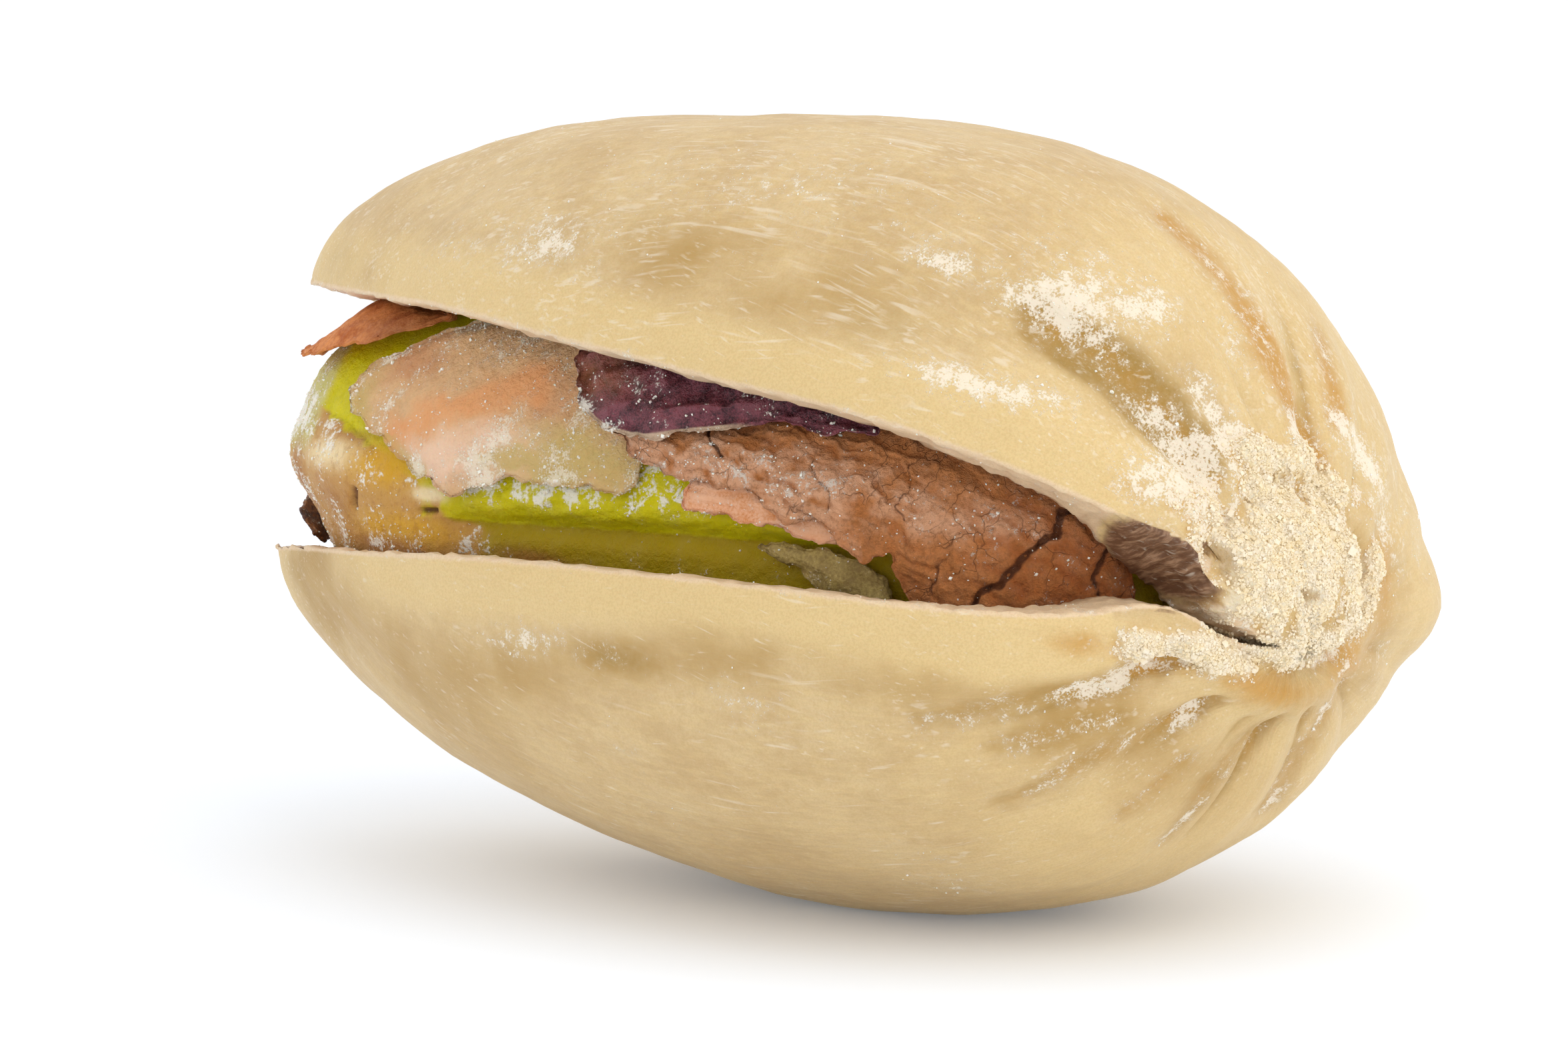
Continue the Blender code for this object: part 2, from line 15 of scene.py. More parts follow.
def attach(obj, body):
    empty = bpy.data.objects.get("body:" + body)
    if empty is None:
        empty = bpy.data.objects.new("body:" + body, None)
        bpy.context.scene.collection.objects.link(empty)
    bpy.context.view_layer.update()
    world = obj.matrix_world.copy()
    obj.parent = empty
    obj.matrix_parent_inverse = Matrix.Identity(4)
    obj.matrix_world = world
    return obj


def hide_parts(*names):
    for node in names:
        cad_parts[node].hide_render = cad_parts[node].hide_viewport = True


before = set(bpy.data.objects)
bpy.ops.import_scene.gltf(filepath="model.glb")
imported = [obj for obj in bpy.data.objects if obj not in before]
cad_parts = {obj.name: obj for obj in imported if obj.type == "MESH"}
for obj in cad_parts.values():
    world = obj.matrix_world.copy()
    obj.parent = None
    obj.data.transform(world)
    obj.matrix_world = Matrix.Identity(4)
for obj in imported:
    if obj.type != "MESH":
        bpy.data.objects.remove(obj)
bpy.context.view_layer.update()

bl_info = {
    "name": "Pistachio looks",
    "version": (1, 0, 0),
    "blender": (4, 5, 0),
    "location": "3D View > Sidebar > Pistachio",
    "description": "Builds the looks of a roasted pistachio in its split shell",
    "category": "Object",
}

MM = 0.001

# How the nut lies in the row's frame
NUT_PLACE = np.array((-0.1653, -0.0739, 5.9077))
NUT_TURN = Matrix.Rotation(math.radians(1.9), 3, "Y") @ Matrix.Rotation(math.radians(-13.3), 3, "X")

# Half the shell's length and width and its middle's height, which tell its outer face from its inner one
SHELL_LONG, SHELL_WIDE, SHELL_MIDDLE = 10, 6, 0.5

# The pole that the shell's furrows fan out from, as (y, z)
FAN_POLE = (-1.28, -0.74)

# Shell marks as place, reach along each axis and strength
SHELL_DUST = (
    ((-2.5, -5.1, 4.0), (1.7, 1.5, 0.5), 0.6),
    ((-4.9, -4.2, 3.9), (1.6, 1.5, 0.6), 0.35),
    ((2.98, -5.3, 4.84), (0.5, 1.0, 0.16), 0.8),
    ((3.8, -5.2, 4.93), (0.7, 1.0, 0.14), 0.6),
    ((5.14, -5.2, 4.5), (0.45, 1.0, 0.2), 1.0),
    ((6.8, -4.7, 4.2), (0.9, 1.0, 0.26), 0.85),
    ((7.7, -4.4, 3.75), (0.45, 0.8, 0.2), 0.8),
    ((8.1, -3.7, 4.2), (0.5, 0.8, 0.3), 0.75),
    ((4.9, -6.0, 3.0), (0.8, 0.9, 0.25), 0.5),
    ((5.9, -5.9, 2.7), (0.9, 0.9, 0.3), 0.6),
    ((7.1, -5.5, 2.5), (1.0, 0.9, 0.35), 0.7),
    ((1.5, -4.6, 5.6), (3.2, 1.3, 0.9), 0.35),
    ((9.0, -2.0, 4.0), (0.5, 0.5, 0.9), 0.5),
    ((9.4, -3.5, 1.9), (0.8, 1.0, 0.7), 0.95),
    ((8.9, -4.6, 1.45), (0.8, 0.7, 0.4), 0.8),
    ((9.9, 0.8, 2.4), (0.5, 0.7, 1.1), 0.7),
    ((9.2, -1.2, 4.6), (0.8, 1.2, 0.7), 0.35),
    ((0.6, -5.8, -2.5), (2.3, 0.9, 0.34), 0.4),
    ((7.6, -4.2, 4.5), (1.6, 1.6, 0.9), 0.42),
    ((10.3, 1.2, 1.2), (0.7, 1.4, 1.6), 0.38),
    ((10.4, 0.6, -0.8), (0.6, 1.3, 0.6), 0.85),
    ((9.9, 2.4, 1.5), (0.6, 0.9, 1.5), 0.45),
    ((10.0, -0.8, 2.75), (0.6, 0.9, 0.5), 0.85),
    ((-1.8, -5.3, -2.5), (1.4, 0.9, 0.4), 0.5),
    ((2.6, -5.9, -3.1), (1.8, 0.9, 0.5), 0.45),
    ((5.4, -2.1, -5.3), (0.9, 0.9, 0.3), 0.55),
    ((5.3, -3.3, -4.85), (0.9, 0.9, 0.3), 0.5),
    ((0.8, -3.6, -5.0), (1.0, 1.0, 0.7), 0.35),
    ((0.4, -4.9, -4.0), (0.3, 0.8, 0.7), 0.45),
    ((8.6, -4.9, -1.3), (1.1, 0.5, 0.3), 0.8),
)
# Warmer darker patches: partly the shell's own tone, partly painted shade, strongest at the left tip of the
# lower valve, where less light falls
SHELL_TAN_AND_SHADE = (
    ((4.3, -6.2, -2.2), (3.0, 1.5, 0.5), 1.1),
    ((0.5, -5.8, -2.55), (1.5, 1.0, 0.32), 1.0),
    ((-4.3, -3.8, -3.4), (2.5, 1.8, 1.1), 0.75),
    ((-8.2, -2.2, -2.1), (2.2, 1.8, 1.0), 1.3),
    ((0.9, -5.8, 4.1), (2.2, 1.2, 0.8), 0.5),
    ((-8.0, -3.0, 3.2), (1.6, 1.6, 0.8), 0.6),
    ((3.0, -5.9, 3.8), (2.6, 1.2, 0.8), 0.6),
    ((8.6, -4.1, -2.4), (1.5, 1.3, 0.9), 1.1),
    ((9.2, -2.0, -3.2), (0.9, 1.6, 0.9), 0.6),
    ((8.6, -3.9, 3.0), (1.4, 1.2, 0.9), 0.6),
    ((-1.3, -5.3, -3.0), (1.5, 1.0, 0.5), 0.6),
    ((10.3, 0.6, 0.0), (0.8, 1.6, 2.0), 0.7),
)
# Painted shade: olive darkening laid into the shell's hollows, its dent and its left end, where less light
# falls
SHELL_PAINTED_SHADE = (
    ((8.0, -4.3, 3.3), (0.8, 0.9, 0.35), 0.8),
    ((8.84, -3.88, 2.69), (0.4, 0.7, 0.4), 1.0),
    ((9.35, -3.4, 2.35), (0.3, 0.6, 0.35), 0.5),
    ((4.7, -5.8, 3.4), (1.1, 0.8, 0.5), 0.4),
    ((-0.6, -5.2, 4.6), (1.2, 0.8, 0.5), 0.25),
    ((0.5, -5.8, -2.55), (1.0, 0.8, 0.22), 0.6),
    ((-9.3, -2.0, 3.4), (1.2, 1.6, 0.6), 0.4),
    ((-9.3, -1.6, -2.0), (1.0, 1.6, 0.5), 0.35),
)
SHELL_OCHRE = (
    ((9.2, -1.3, 3.9), (0.55, 0.5, 0.9), 0.75),
    ((9.5, 0.3, 3.6), (0.4, 0.4, 0.9), 0.4),
    ((8.7, -4.9, -1.2), (0.7, 0.5, 0.25), 0.7),
    ((9.0, -4.6, 1.35), (0.8, 0.4, 0.3), 0.45),
    ((10.4, -1.8, -1.45), (0.5, 1.2, 0.3), 0.9),
    ((10.5, 0.2, -0.8), (0.5, 0.9, 0.5), 0.7),
    ((10.5, 1.1, 0.6), (0.5, 0.5, 0.9), 0.7),
)

# Furrows near the scar: the line of each, half its width, extra depth, and how much olive painted shade,
# ochre (partly painted shade) and salt it gets
FURROWS = (
    (((6.35, -5.41, -2.82), (8.06, -4.86, -2.12), (9.29, -3.56, -1.41)), 0.3, 0.09, 0.5, 0.3, 0.95),
    (((7.32, -4.74, -3.08), (8.18, -4.38, -2.69), (8.92, -3.85, -2.29)), 0.28, 0.09, 0.5, 0.3, 0.5),
    (((7.12, -3.91, -3.95), (8.5, -3.67, -3.02), (9.45, -2.62, -1.97)), 0.3, 0.1, 0.5, 0.35, 0.9),
    (((8.48, -2.41, -3.77), (8.95, -2.33, -3.32), (9.34, -2.17, -2.83)), 0.26, 0.08, 0.4, 0.4, 0.6),
    (((8.53, -0.98, -4.07), (9.37, -1.41, -3.12), (9.9, -1.18, -2.2)), 0.3, 0.1, 0.5, 0.35, 0.85),
    (((8.97, 1.25, -3.22), (9.64, 0.82, -2.47), (10.19, 0.59, -1.67)), 0.34, 0.1, 0.4, 0.4, 0.95),
    (((6.83, -4.81, 3.89), (7.78, -4.45, 3.53), (8.64, -4.02, 2.92), (9.47, -3.3, 1.99)),
     0.42, 0.08, 1.0, 0.45, 0.75),
    (((7.09, -1.64, 5.87), (8.49, -1.4, 4.82), (9.6, -1.28, 3.36), (9.8, -0.78, 2.57)),
     0.38, 0.08, 0.25, 0.75, 0.45),
    (((8.73, 0.87, 4.53), (9.37, 0.36, 3.81), (9.82, 0.03, 3.09)), 0.28, 0.06, 0.2, 0.55, 0.5),
    (((8.89, -3.32, 3.35), (9.22, -3.09, 2.98), (9.56, -2.8, 2.62)), 0.22, 0.06, 0.1, 0.1, 1.1),
)

# The crust on the stem scar: a mound, and lines that its grains follow, each with a reach
CRUST_MOUND = ((10.3, -1.85, 0.7), (1.45, 1.62, 1.36))
CRUST_LINES = (
    (((9.3, -4.1, -1.05), (9.7, -3.7, -1.0), (10.2, -2.9, -1.0), (10.6, -1.8, -0.85), (10.75, -0.6, -0.5),
      (10.75, 0.4, 0.1), (10.55, 0.6, 0.8)), 0.3),
    (((10.3, -0.4, 1.9), (10.0, -1.4, 2.3), (9.7, -2.4, 2.2)), 0.25),
)

# Pits in the crust as place, reach and depth. Their colour is partly ochre, partly painted shade
CRUST_PITS = (
    ((9.95, -3.2, 0.6), (0.3, 0.2, 0.17), 0.16),
    ((10.02, -3.05, 0.35), (0.3, 0.12, 0.22), 0.14),
    ((10.7, -1.6, 0.16), (0.4, 0.22, 0.1), 0.08),
    ((9.9, -2.54, 1.42), (0.4, 0.16, 0.08), 0.08),
    ((10.1, -0.6, 2.19), (0.4, 0.08, 0.14), 0.08),
)

# A ditch between the mound and the collar of crust round it, pushed in and darkened with painted shade
CRUST_DITCH = (
    (10.6, -1.3, -0.72), (10.62, -0.3, -0.6), (10.6, 0.35, 0.1), (10.5, 0.35, 0.9), (10.35, 0.0, 1.5),
)

# The dried stalk under the upper rim
FUNICLE = ((9.2, -3.65, 0.4), (0.85, 0.9, 0.75))

# Cracks in the russet flake, as lines over its front in (x, z), with half their width and their depth
RUSSET_CRACKS = (
    (((7.5, 1.3), (7.42, 0.75), (7.36, 0.5), (7.0, 0.05), (6.7, -0.3), (6.35, -0.75), (6.2, -1.0)),
     0.05, 0.13),
    (((1.1, 1.5), (1.5, 1.15), (1.75, 0.95)), 0.03, 0.08),
    (((8.0, 0.35), (7.95, -0.1), (8.05, -0.5)), 0.035, 0.09),
    (((5.0, 1.2), (5.1, 0.85), (4.95, 0.55), (5.2, 0.3)), 0.02, 0.045),
    (((3.3, 1.4), (3.4, 1.0), (3.75, 0.7), (3.9, 0.4)), 0.02, 0.045),
    (((6.0, 0.2), (5.7, -0.3), (5.65, -0.8)), 0.02, 0.045),
)

# Marks on the kernel as place, reach and strength, and its slits as line in (x, z), half width and strength
KERNEL_BROWN = (
    ((-6.3, -2.9, -1.3), (1.6, 2.0, 0.2), 0.8),
    ((-9.0, -1.6, -0.3), (0.35, 0.7, 0.8), 1.0),
    ((-2.8, -3.9, -1.15), (0.9, 2.0, 0.2), 0.9),
    ((-7.8, -2.3, -0.6), (0.65, 1.0, 0.4), 0.65),
    ((-1.7, -4.2, -1.3), (0.7, 2.0, 0.2), 0.7),
    ((-7.1, -2.6, 0.5), (0.8, 1.0, 0.12), 0.7),
)
KERNEL_AMBER = (
    ((-6.2, -3.2, 0.05), (1.0, 1.2, 0.4), 1.1),
    ((-5.6, -3.4, -0.95), (1.4, 1.0, 0.3), 0.9),
    ((-7.0, -2.9, -1.0), (0.8, 1.0, 0.3), 0.5),
)
KERNEL_PALE = (
    ((-7.6, -2.4, 0.12), (1.1, 1.2, 0.3), 1.0),
    ((-5.1, -3.6, -0.33), (0.45, 1.0, 0.14), 1.1),
)
# Slits, pushed in and darkened with painted shade
KERNEL_SLITS = (
    (((-7.2, -0.72), (-7.08, -0.45)), 0.08, 0.8),
    (((-5.25, -0.62), (-4.95, -0.6)), 0.055, 0.9),
    # A painted shadow line under the bright facet of the upper seed leaf
    (((-8.3, 0.8), (-7.6, 0.7), (-6.6, 0.3)), 0.05, 0.4),
)

# The middle and the half sizes of the egg that the flakes lie on
EGG_MIDDLE = np.array((-0.58, 0.0, 0.15))
EGG_HALF = np.array((9.5, 4.75, 4.45))

# Turns and stretches that make a noise run along the stalk's strands and along the russet flake's ribs
STRAND_TURN = np.array(((0.5, 0, -1.0), (0.8, 0, 0.3), (0.9, 6.0, 1.2)))
RIB_TURN = np.array(((0.3, 0, -0.12), (0.36, 0, 0.93), (0, 0.7, 0)))

# The orange streak of the straw flake, as a line over its front in (x, z)
ORANGE_STREAK = ((-5.9, 0.45), (-5.2, 0.85), (-4.2, 1.28), (-3.4, 1.55), (-2.9, 1.75))

# Edges that turn by more than this are rims. A point counts as on a rim from this mark up
SHARP_TURN = math.radians(50)
RIM_MARK = 0.97

# How much of each piece's dust becomes loose grains
SALT_SHARES = {
    "split_shell": 0.2, "green_kernel": 1.3, "straw_flake": 1.4, "tip_flap": 0.6, "plum_flake": 2.4,
    "russet_flake": 1.6, "under_flake": 1.0, "olive_flake": 1.0, "end_flake": 1.0,
}

# Heights and depths in mm of the relief that isn't in the sizes below
HOLLOW_DEPTH, DITCH_DEPTH, DITCH_WIDTH = 0.08, 0.12, 0.11
SLIT_DEPTH, LEDGE_HEIGHT = 0.14, 0.05
FOLD_HEIGHT = 0.07
STEP_HEIGHT, SEAM_DEPTH, RIB_HEIGHT, FINE_RIB_HEIGHT = 0.05, 0.02, 0.035, 0.018

# Lights as name, way from the nut towards the camera, to the right and up, size, and share of the key power
LIGHTS = (
    ("key", 0.04, 0.04, 0.12, 0.1, 1.0),
    ("right", 0.08, 0.11, 0.03, 0.08, 0.9),
)

# How rough a surface is where salt covers it
SALT_ROUGHNESS = 0.85

# Odd numbers that scramble a place into noise
SEED_STEP = 17.3
PLACE_KEYS = np.array((127.1, 311.7, 74.7))
CELL_KEYS = np.array((12.9, 78.2, 37.7))
SCRAMBLE = 43758.5453


# Small tools for numbers

def ease(value, low=0.0, high=1.0):
    """0 below low, 1 above high and a smooth step between."""
    value = np.clip((value - low) / (high - low), 0.0, 1.0)
    return value * value * (3 - 2 * value)


def blob(points, centre, reach):
    return np.exp(-(((points - np.array(centre)) / np.array(reach)) ** 2).sum(-1))


def marks(points, table):
    """The strength at points of all the marks in a table."""
    total = sum(strength * blob(points, centre, reach) for centre, reach, strength in table)
    return np.clip(total, 0, 1)


def furrow_marks(points):
    """How deep the furrows are at points in mm, and how much olive painted shade, ochre that is partly
    painted shade, and salt they get.
    """
    found = np.zeros((4, len(points)))
    for line, width, *strengths in FURROWS:
        found = np.maximum(found, np.outer(strengths, along(points, line, width)))
    return found


def near_line(points, line):
    """The distance from points to a broken line."""
    nearest = np.full(len(points), np.inf)
    line = np.array(line, float)
    for start, end in zip(line, line[1:]):
        way = end - start
        share = np.clip((points - start) @ way / (way @ way), 0, 1)
        nearest = np.minimum(nearest, np.linalg.norm(points - start - share[:, None] * way, axis=-1))
    return nearest


def grain(points, size, seed=0):
    """Smooth noise from -1 to 1 with features of this size."""
    cell = points / size + seed * SEED_STEP
    corner_of = np.floor(cell)
    part = cell - corner_of
    part = part * part * (3 - 2 * part)
    total = np.zeros(len(points))
    for corner in np.ndindex(*([2] * points.shape[1])):
        key = (corner_of + corner) @ PLACE_KEYS[: points.shape[1]]
        value = np.modf(np.sin(key) * SCRAMBLE)[0]
        total += value * np.prod(np.where(corner, part, 1 - part), axis=-1)
    return total


def rough(points, size, octaves=3, seed=0):
    """Noise from about -1 to 1 with finer and finer features."""
    return sum(grain(points, size / 2**k, seed + k) / 2**k for k in range(octaves)) * 1.2


def cells(points, size):
    """How far each point is from its cell's edge, from 0 to about 1, and a number for the cell."""
    found = [noise.voronoi(Vector(point)) for point in points / size]
    edge = np.array([near[1] - near[0] for near, _ in found])
    seeds = np.array([tuple(places[0]) for _, places in found])
    return edge, np.modf(abs(seeds @ CELL_KEYS))[0]


def warp(points, size, amount, seed):
    """The points moved about by noise."""
    return points + amount * np.stack([rough(points, size, 3, seed + k) for k in range(points.shape[1])], -1)


def beads(points, size):
    """Round bumps packed together, from 0 between them to 1 on top."""
    radius = 0.75
    near = np.array([noise.voronoi(Vector(point))[0][0] for point in points / size])
    return 1 - np.clip(near / radius, 0, 1) ** 2


def along(points, line, width):
    """1 on a broken line and less and less beside it."""
    return np.exp(-((near_line(points, line) / width) ** 2))


def deepest(points, table):
    """The strength at points of all the lines in a table, each with its width and strength."""
    found = np.zeros(len(points))
    for line, width, strength in table:
        found = np.maximum(found, strength * along(points, line, width))
    return found


def to_nut(points):
    return (points / MM - NUT_PLACE) @ np.array(NUT_TURN)


# Small tools for meshes

def alone(piece):
    """Selects one piece and nothing else."""
    bpy.ops.object.select_all(action="DESELECT")
    piece.select_set(True)
    bpy.context.view_layer.objects.active = piece


def read(values, name, width):
    numbers = np.empty(len(values) * width, np.float32)
    values.foreach_get(name, numbers)
    return numbers.reshape(-1, width).astype(float)


def read_edges(mesh):
    return read(mesh.edges, "vertices", 2).astype(int)


def read_mask(mesh, name):
    return read(mesh.attributes[name].data, "value", 1)[:, 0]


def everywhere(points):
    return np.ones(len(points), bool)


def skin_of(node, name, levels, crease=0.0, rim_zone=everywhere):
    """A copy of a CAD node as one closed skin, with its rim marked and smoothly subdivided."""
    piece = bpy.data.objects.new(name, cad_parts[node].data.copy())
    bpy.context.scene.collection.objects.link(piece)
    alone(piece)
    bpy.ops.mesh.customdata_custom_splitnormals_clear()
    bpy.ops.object.mode_set(mode="EDIT")
    bpy.ops.mesh.select_all(action="SELECT")
    bpy.ops.mesh.remove_doubles(threshold=1e-6)
    bpy.ops.mesh.tris_convert_to_quads(face_threshold=math.radians(60), shape_threshold=math.radians(80))
    bpy.ops.object.mode_set(mode="OBJECT")
    mark_rim(piece.data, crease, rim_zone)
    mark_hollows(piece.data)
    bpy.ops.object.modifier_add(type="SUBSURF")
    smooth = piece.modifiers[-1]
    smooth.levels = smooth.render_levels = levels
    bpy.ops.object.modifier_apply(modifier=smooth.name)
    piece.data.materials.clear()
    return piece


def mark_hollows(mesh):
    """Writes how far each point lies under a softened copy of the surface, in mm, as the hollow attribute."""
    points = read(mesh.vertices, "co", 3) / MM
    normals = read(mesh.vertex_normals, "vector", 3)
    ends = read_edges(mesh)
    count = np.bincount(ends.ravel(), minlength=len(points))
    soft = points
    rounds, kept, taken = 5, 0.4, 0.6
    for _ in range(rounds):
        total = np.zeros_like(soft)
        np.add.at(total, ends[:, 0], soft[ends[:, 1]])
        np.add.at(total, ends[:, 1], soft[ends[:, 0]])
        soft = kept * soft + taken * total / count[:, None]
    depth = ((soft - points) * normals).sum(-1)
    layer = mesh.attributes.new("hollow", "FLOAT", "POINT")
    layer.data.foreach_set("value", depth.astype(np.float32))


def mark_rim(mesh, crease, zone):
    """Creases the edges that turn sharply, and writes 1 at their ends in the rim attribute."""
    inside = zone(to_nut(read(mesh.vertices, "co", 3)))
    work = bmesh.new()
    work.from_mesh(mesh)
    creases = work.edges.layers.float.new("crease_edge")
    rim = work.verts.layers.float.new("rim")
    for edge in work.edges:
        edge.smooth = True
        near = all(inside[vertex.index] for vertex in edge.verts)
        if near and len(edge.link_faces) == 2 and edge.calc_face_angle() > SHARP_TURN:
            edge[creases] = crease
            for vertex in edge.verts:
                vertex[rim] = 1.0
    work.to_mesh(mesh)
    work.free()


def refine(piece, chosen, side):
    """Splits the faces whose middle is chosen once more, unless their sides are already this short, in mm."""
    alone(piece)
    bpy.context.tool_settings.mesh_select_mode = (False, False, True)
    bpy.ops.object.mode_set(mode="EDIT")
    bpy.ops.mesh.select_all(action="DESELECT")
    bpy.ops.object.mode_set(mode="OBJECT")
    mesh = piece.data
    middles = to_nut(read(mesh.polygons, "center", 3))
    large = read(mesh.polygons, "area", 1)[:, 0] > (side * MM) ** 2
    mesh.polygons.foreach_set("select", chosen(middles) & large)
    bpy.ops.object.mode_set(mode="EDIT")
    bpy.ops.mesh.subdivide(number_cuts=1, smoothness=0, ngon=False)
    bpy.ops.object.mode_set(mode="OBJECT")


def rim_distance(mesh, points):
    """How far each point is from the nearest marked rim, in mm."""
    places = points[read_mask(mesh, "rim") > RIM_MARK]
    tree = KDTree(len(places))
    for k, place in enumerate(places):
        tree.insert(place, k)
    tree.balance()
    return np.array([tree.find(point)[2] for point in points])


def write_mask(mesh, name, values):
    layer = mesh.attributes.get(name) or mesh.attributes.new(name, "FLOAT", "POINT")
    layer.data.foreach_set("value", np.clip(values, 0, 1).astype(np.float32))


def write_vector(mesh, name, values):
    layer = mesh.attributes.new(name, "FLOAT_VECTOR", "POINT")
    layer.data.foreach_set("vector", values.astype(np.float32).ravel())


class Skin:
    """A piece's points and outward directions in the nut's frame, to shape and mark."""

    def __init__(self, piece):
        self.mesh = piece.data
        self.points = to_nut(read(self.mesh.vertices, "co", 3))
        self.normals = read(self.mesh.vertex_normals, "vector", 3) @ np.array(NUT_TURN)
        self.rim = rim_distance(self.mesh, self.points)

    def push(self, height):
        """Moves the points out by a height in mm."""
        self.points = self.points + self.normals * height[:, None]

    def keep(self, masks):
        """Writes the shape and the masks back to the mesh."""
        world = (self.points @ np.array(NUT_TURN).T + NUT_PLACE) * MM
        self.mesh.vertices.foreach_set("co", world.astype(np.float32).ravel())
        for name, values in masks.items():
            write_mask(self.mesh, name, values)
        self.mesh.shade_smooth()
        self.mesh.update()


def wear(piece, finish, slot, *nodes):
    """Gives a finished piece its material and body, and hides the CAD nodes it stands for. Its slot is not
    used.
    """
    piece.data.materials.append(finish.done())
    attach(piece, "root")
    if nodes:
        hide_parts(*nodes)


# Small tools for materials

def add(tree, kind, settings=None, **inputs):
    """Adds a node. An input may be a value or a socket, and _ in its name stands for a space."""
    made = tree.nodes.new("ShaderNode" + kind)
    for name, value in (settings or {}).items():
        setattr(made, name, value)
    for name, value in inputs.items():
        plug(tree, made.inputs[name.replace("_", " ")], value)
    return made


def plug(tree, socket, value):
    if isinstance(value, bpy.types.NodeSocket):
        tree.links.new(value, socket)
    elif socket.type == "RGBA" and len(value) == 3:
        socket.default_value = (*value, 1.0)
    else:
        socket.default_value = value


def sums(tree, operation, *values):
    made = tree.nodes.new("ShaderNodeMath")
    made.operation = operation
    for socket, value in zip(made.inputs, values):
        plug(tree, socket, value)
    return made.outputs[0]


def times(tree, first, second):
    return sums(tree, "MULTIPLY", first, second)


def blend(tree, share, first, second):
    """A colour between two others."""
    made = tree.nodes.new("ShaderNodeMix")
    made.data_type = "RGBA"
    for number, value in ((0, share), (6, first), (7, second)):
        plug(tree, made.inputs[number], value)
    return made.outputs[2]


def between(tree, share, first, second):
    """A number between two others."""
    made = tree.nodes.new("ShaderNodeMix")
    for number, value in ((0, share), (2, first), (3, second)):
        plug(tree, made.inputs[number], value)
    return made.outputs[0]


def remap(tree, value, low, high, start=0.0, end=1.0):
    made = add(tree, "MapRange", {"interpolation_type": "SMOOTHSTEP"})
    for number, entry in enumerate((value, low, high, start, end)):
        plug(tree, made.inputs[number], entry)
    return made.outputs[0]


def mask(tree, name):
    return add(tree, "Attribute", {"attribute_name": name}).outputs["Fac"]


def nut_place(tree):
    """The place on the nut in mm, in its own frame."""
    turn = NUT_TURN.transposed()
    shift = -(np.array(turn) @ NUT_PLACE)
    source = add(tree, "TexCoord").outputs["Object"]
    mapping = add(tree, "Mapping", {"vector_type": "POINT"}, Vector=source)
    mapping.inputs["Location"].default_value = shift
    mapping.inputs["Rotation"].default_value = turn.to_euler("XYZ")
    mapping.inputs["Scale"].default_value = (1 / MM, 1 / MM, 1 / MM)
    return mapping.outputs[0]


def new_group(name, **numbers):
    """A shader node group that takes a place and these numbers, with the sockets that give them inside it."""
    tree = bpy.data.node_groups.new(name, "ShaderNodeTree")
    tree.interface.new_socket("Place", in_out="INPUT", socket_type="NodeSocketVector")
    for label, value in numbers.items():
        label = label.replace("_", " ")
        tree.interface.new_socket(label, in_out="INPUT", socket_type="NodeSocketFloat").default_value = value
    return tree, tree.nodes.new("NodeGroupInput").outputs


def close_group(tree, **results):
    """Gives the group its outputs."""
    for label in results:
        tree.interface.new_socket(label, in_out="OUTPUT", socket_type="NodeSocketFloat")
    end = tree.nodes.new("NodeGroupOutput")
    for label, value in results.items():
        tree.links.new(value, end.inputs[label])
    return tree


def noise_at(tree, place, scale, detail=3.0, roughness=0.55):
    return add(tree, "TexNoise", Vector=place, Scale=scale, Detail=detail, Roughness=roughness).outputs["Fac"]


def salt_dust_group():
    """White grains that clump: more of them where the amount is high."""
    tree, takes = new_group("Salt dust", Amount=0.5, Fineness=14.0, Cover=0.85, Veil=0.4)
    fine = noise_at(tree, takes["Place"], takes["Fineness"], 2.0, 0.6)
    clump = noise_at(tree, takes["Place"], times(tree, takes["Fineness"], 0.2), 3.0, 0.6)
    both = sums(tree, "ADD", times(tree, fine, 0.5), times(tree, clump, 0.5))
    start = sums(tree, "MULTIPLY_ADD", takes["Amount"], -0.30, 0.67)
    grains = remap(tree, both, start, sums(tree, "ADD", start, 0.12))
    veil = times(tree, takes["Amount"], remap(tree, clump, 0.35, 0.75))
    shown = sums(tree, "MAXIMUM", times(tree, grains, takes["Cover"]), times(tree, veil, takes["Veil"]))
    return close_group(tree, Mask=shown, Height=times(tree, grains, both))


def mottle_group():
    """Soft patches and fine specks between two colours."""
    tree, takes = new_group("Mottling", Scale=1.0, Fine_share=0.4)
    broad = noise_at(tree, takes["Place"], takes["Scale"], 4.0, 0.6)
    fine = noise_at(tree, takes["Place"], times(tree, takes["Scale"], 9.0), 3.0, 0.6)
    both = between(tree, takes["Fine share"], broad, fine)
    return close_group(tree, Mask=remap(tree, both, 0.35, 0.65), Height=both)


def streak_group():
    """Fine lines. The place is a direction that is stored on the mesh, and they run along it."""
    tree, takes = new_group("Streaks", Scale=4.0)
    lines = noise_at(tree, takes["Place"], takes["Scale"], 4.0, 0.65)
    return close_group(tree, Mask=remap(tree, lines, 0.42, 0.68), Height=lines)


def scratch_group():
    """Short thin streaks, mostly along the nut, in patches."""
    tree, takes = new_group("Scratches", Amount=0.5)
    total = None
    for tilt, scale in ((0.10, 7.0), (-0.16, 12.0), (0.3, 18.0)):
        turned = add(tree, "Mapping", {"vector_type": "TEXTURE"}, Vector=takes["Place"])
        turned.inputs["Rotation"].default_value = (0.0, tilt, 0.0)
        turned.inputs["Scale"].default_value = (26.0, 1.0, 1.0)
        lines = noise_at(tree, turned.outputs[0], scale, 2.0, 0.5)
        start = sums(tree, "MULTIPLY_ADD", takes["Amount"], -0.12, 0.67)
        line = remap(tree, lines, start, sums(tree, "ADD", start, 0.14))
        patches = remap(tree, noise_at(tree, takes["Place"], 0.1 * scale, 2.0), 0.42, 0.6)
        line = times(tree, line, patches)
        total = line if total is None else sums(tree, "MAXIMUM", total, line)
    return close_group(tree, Mask=total)


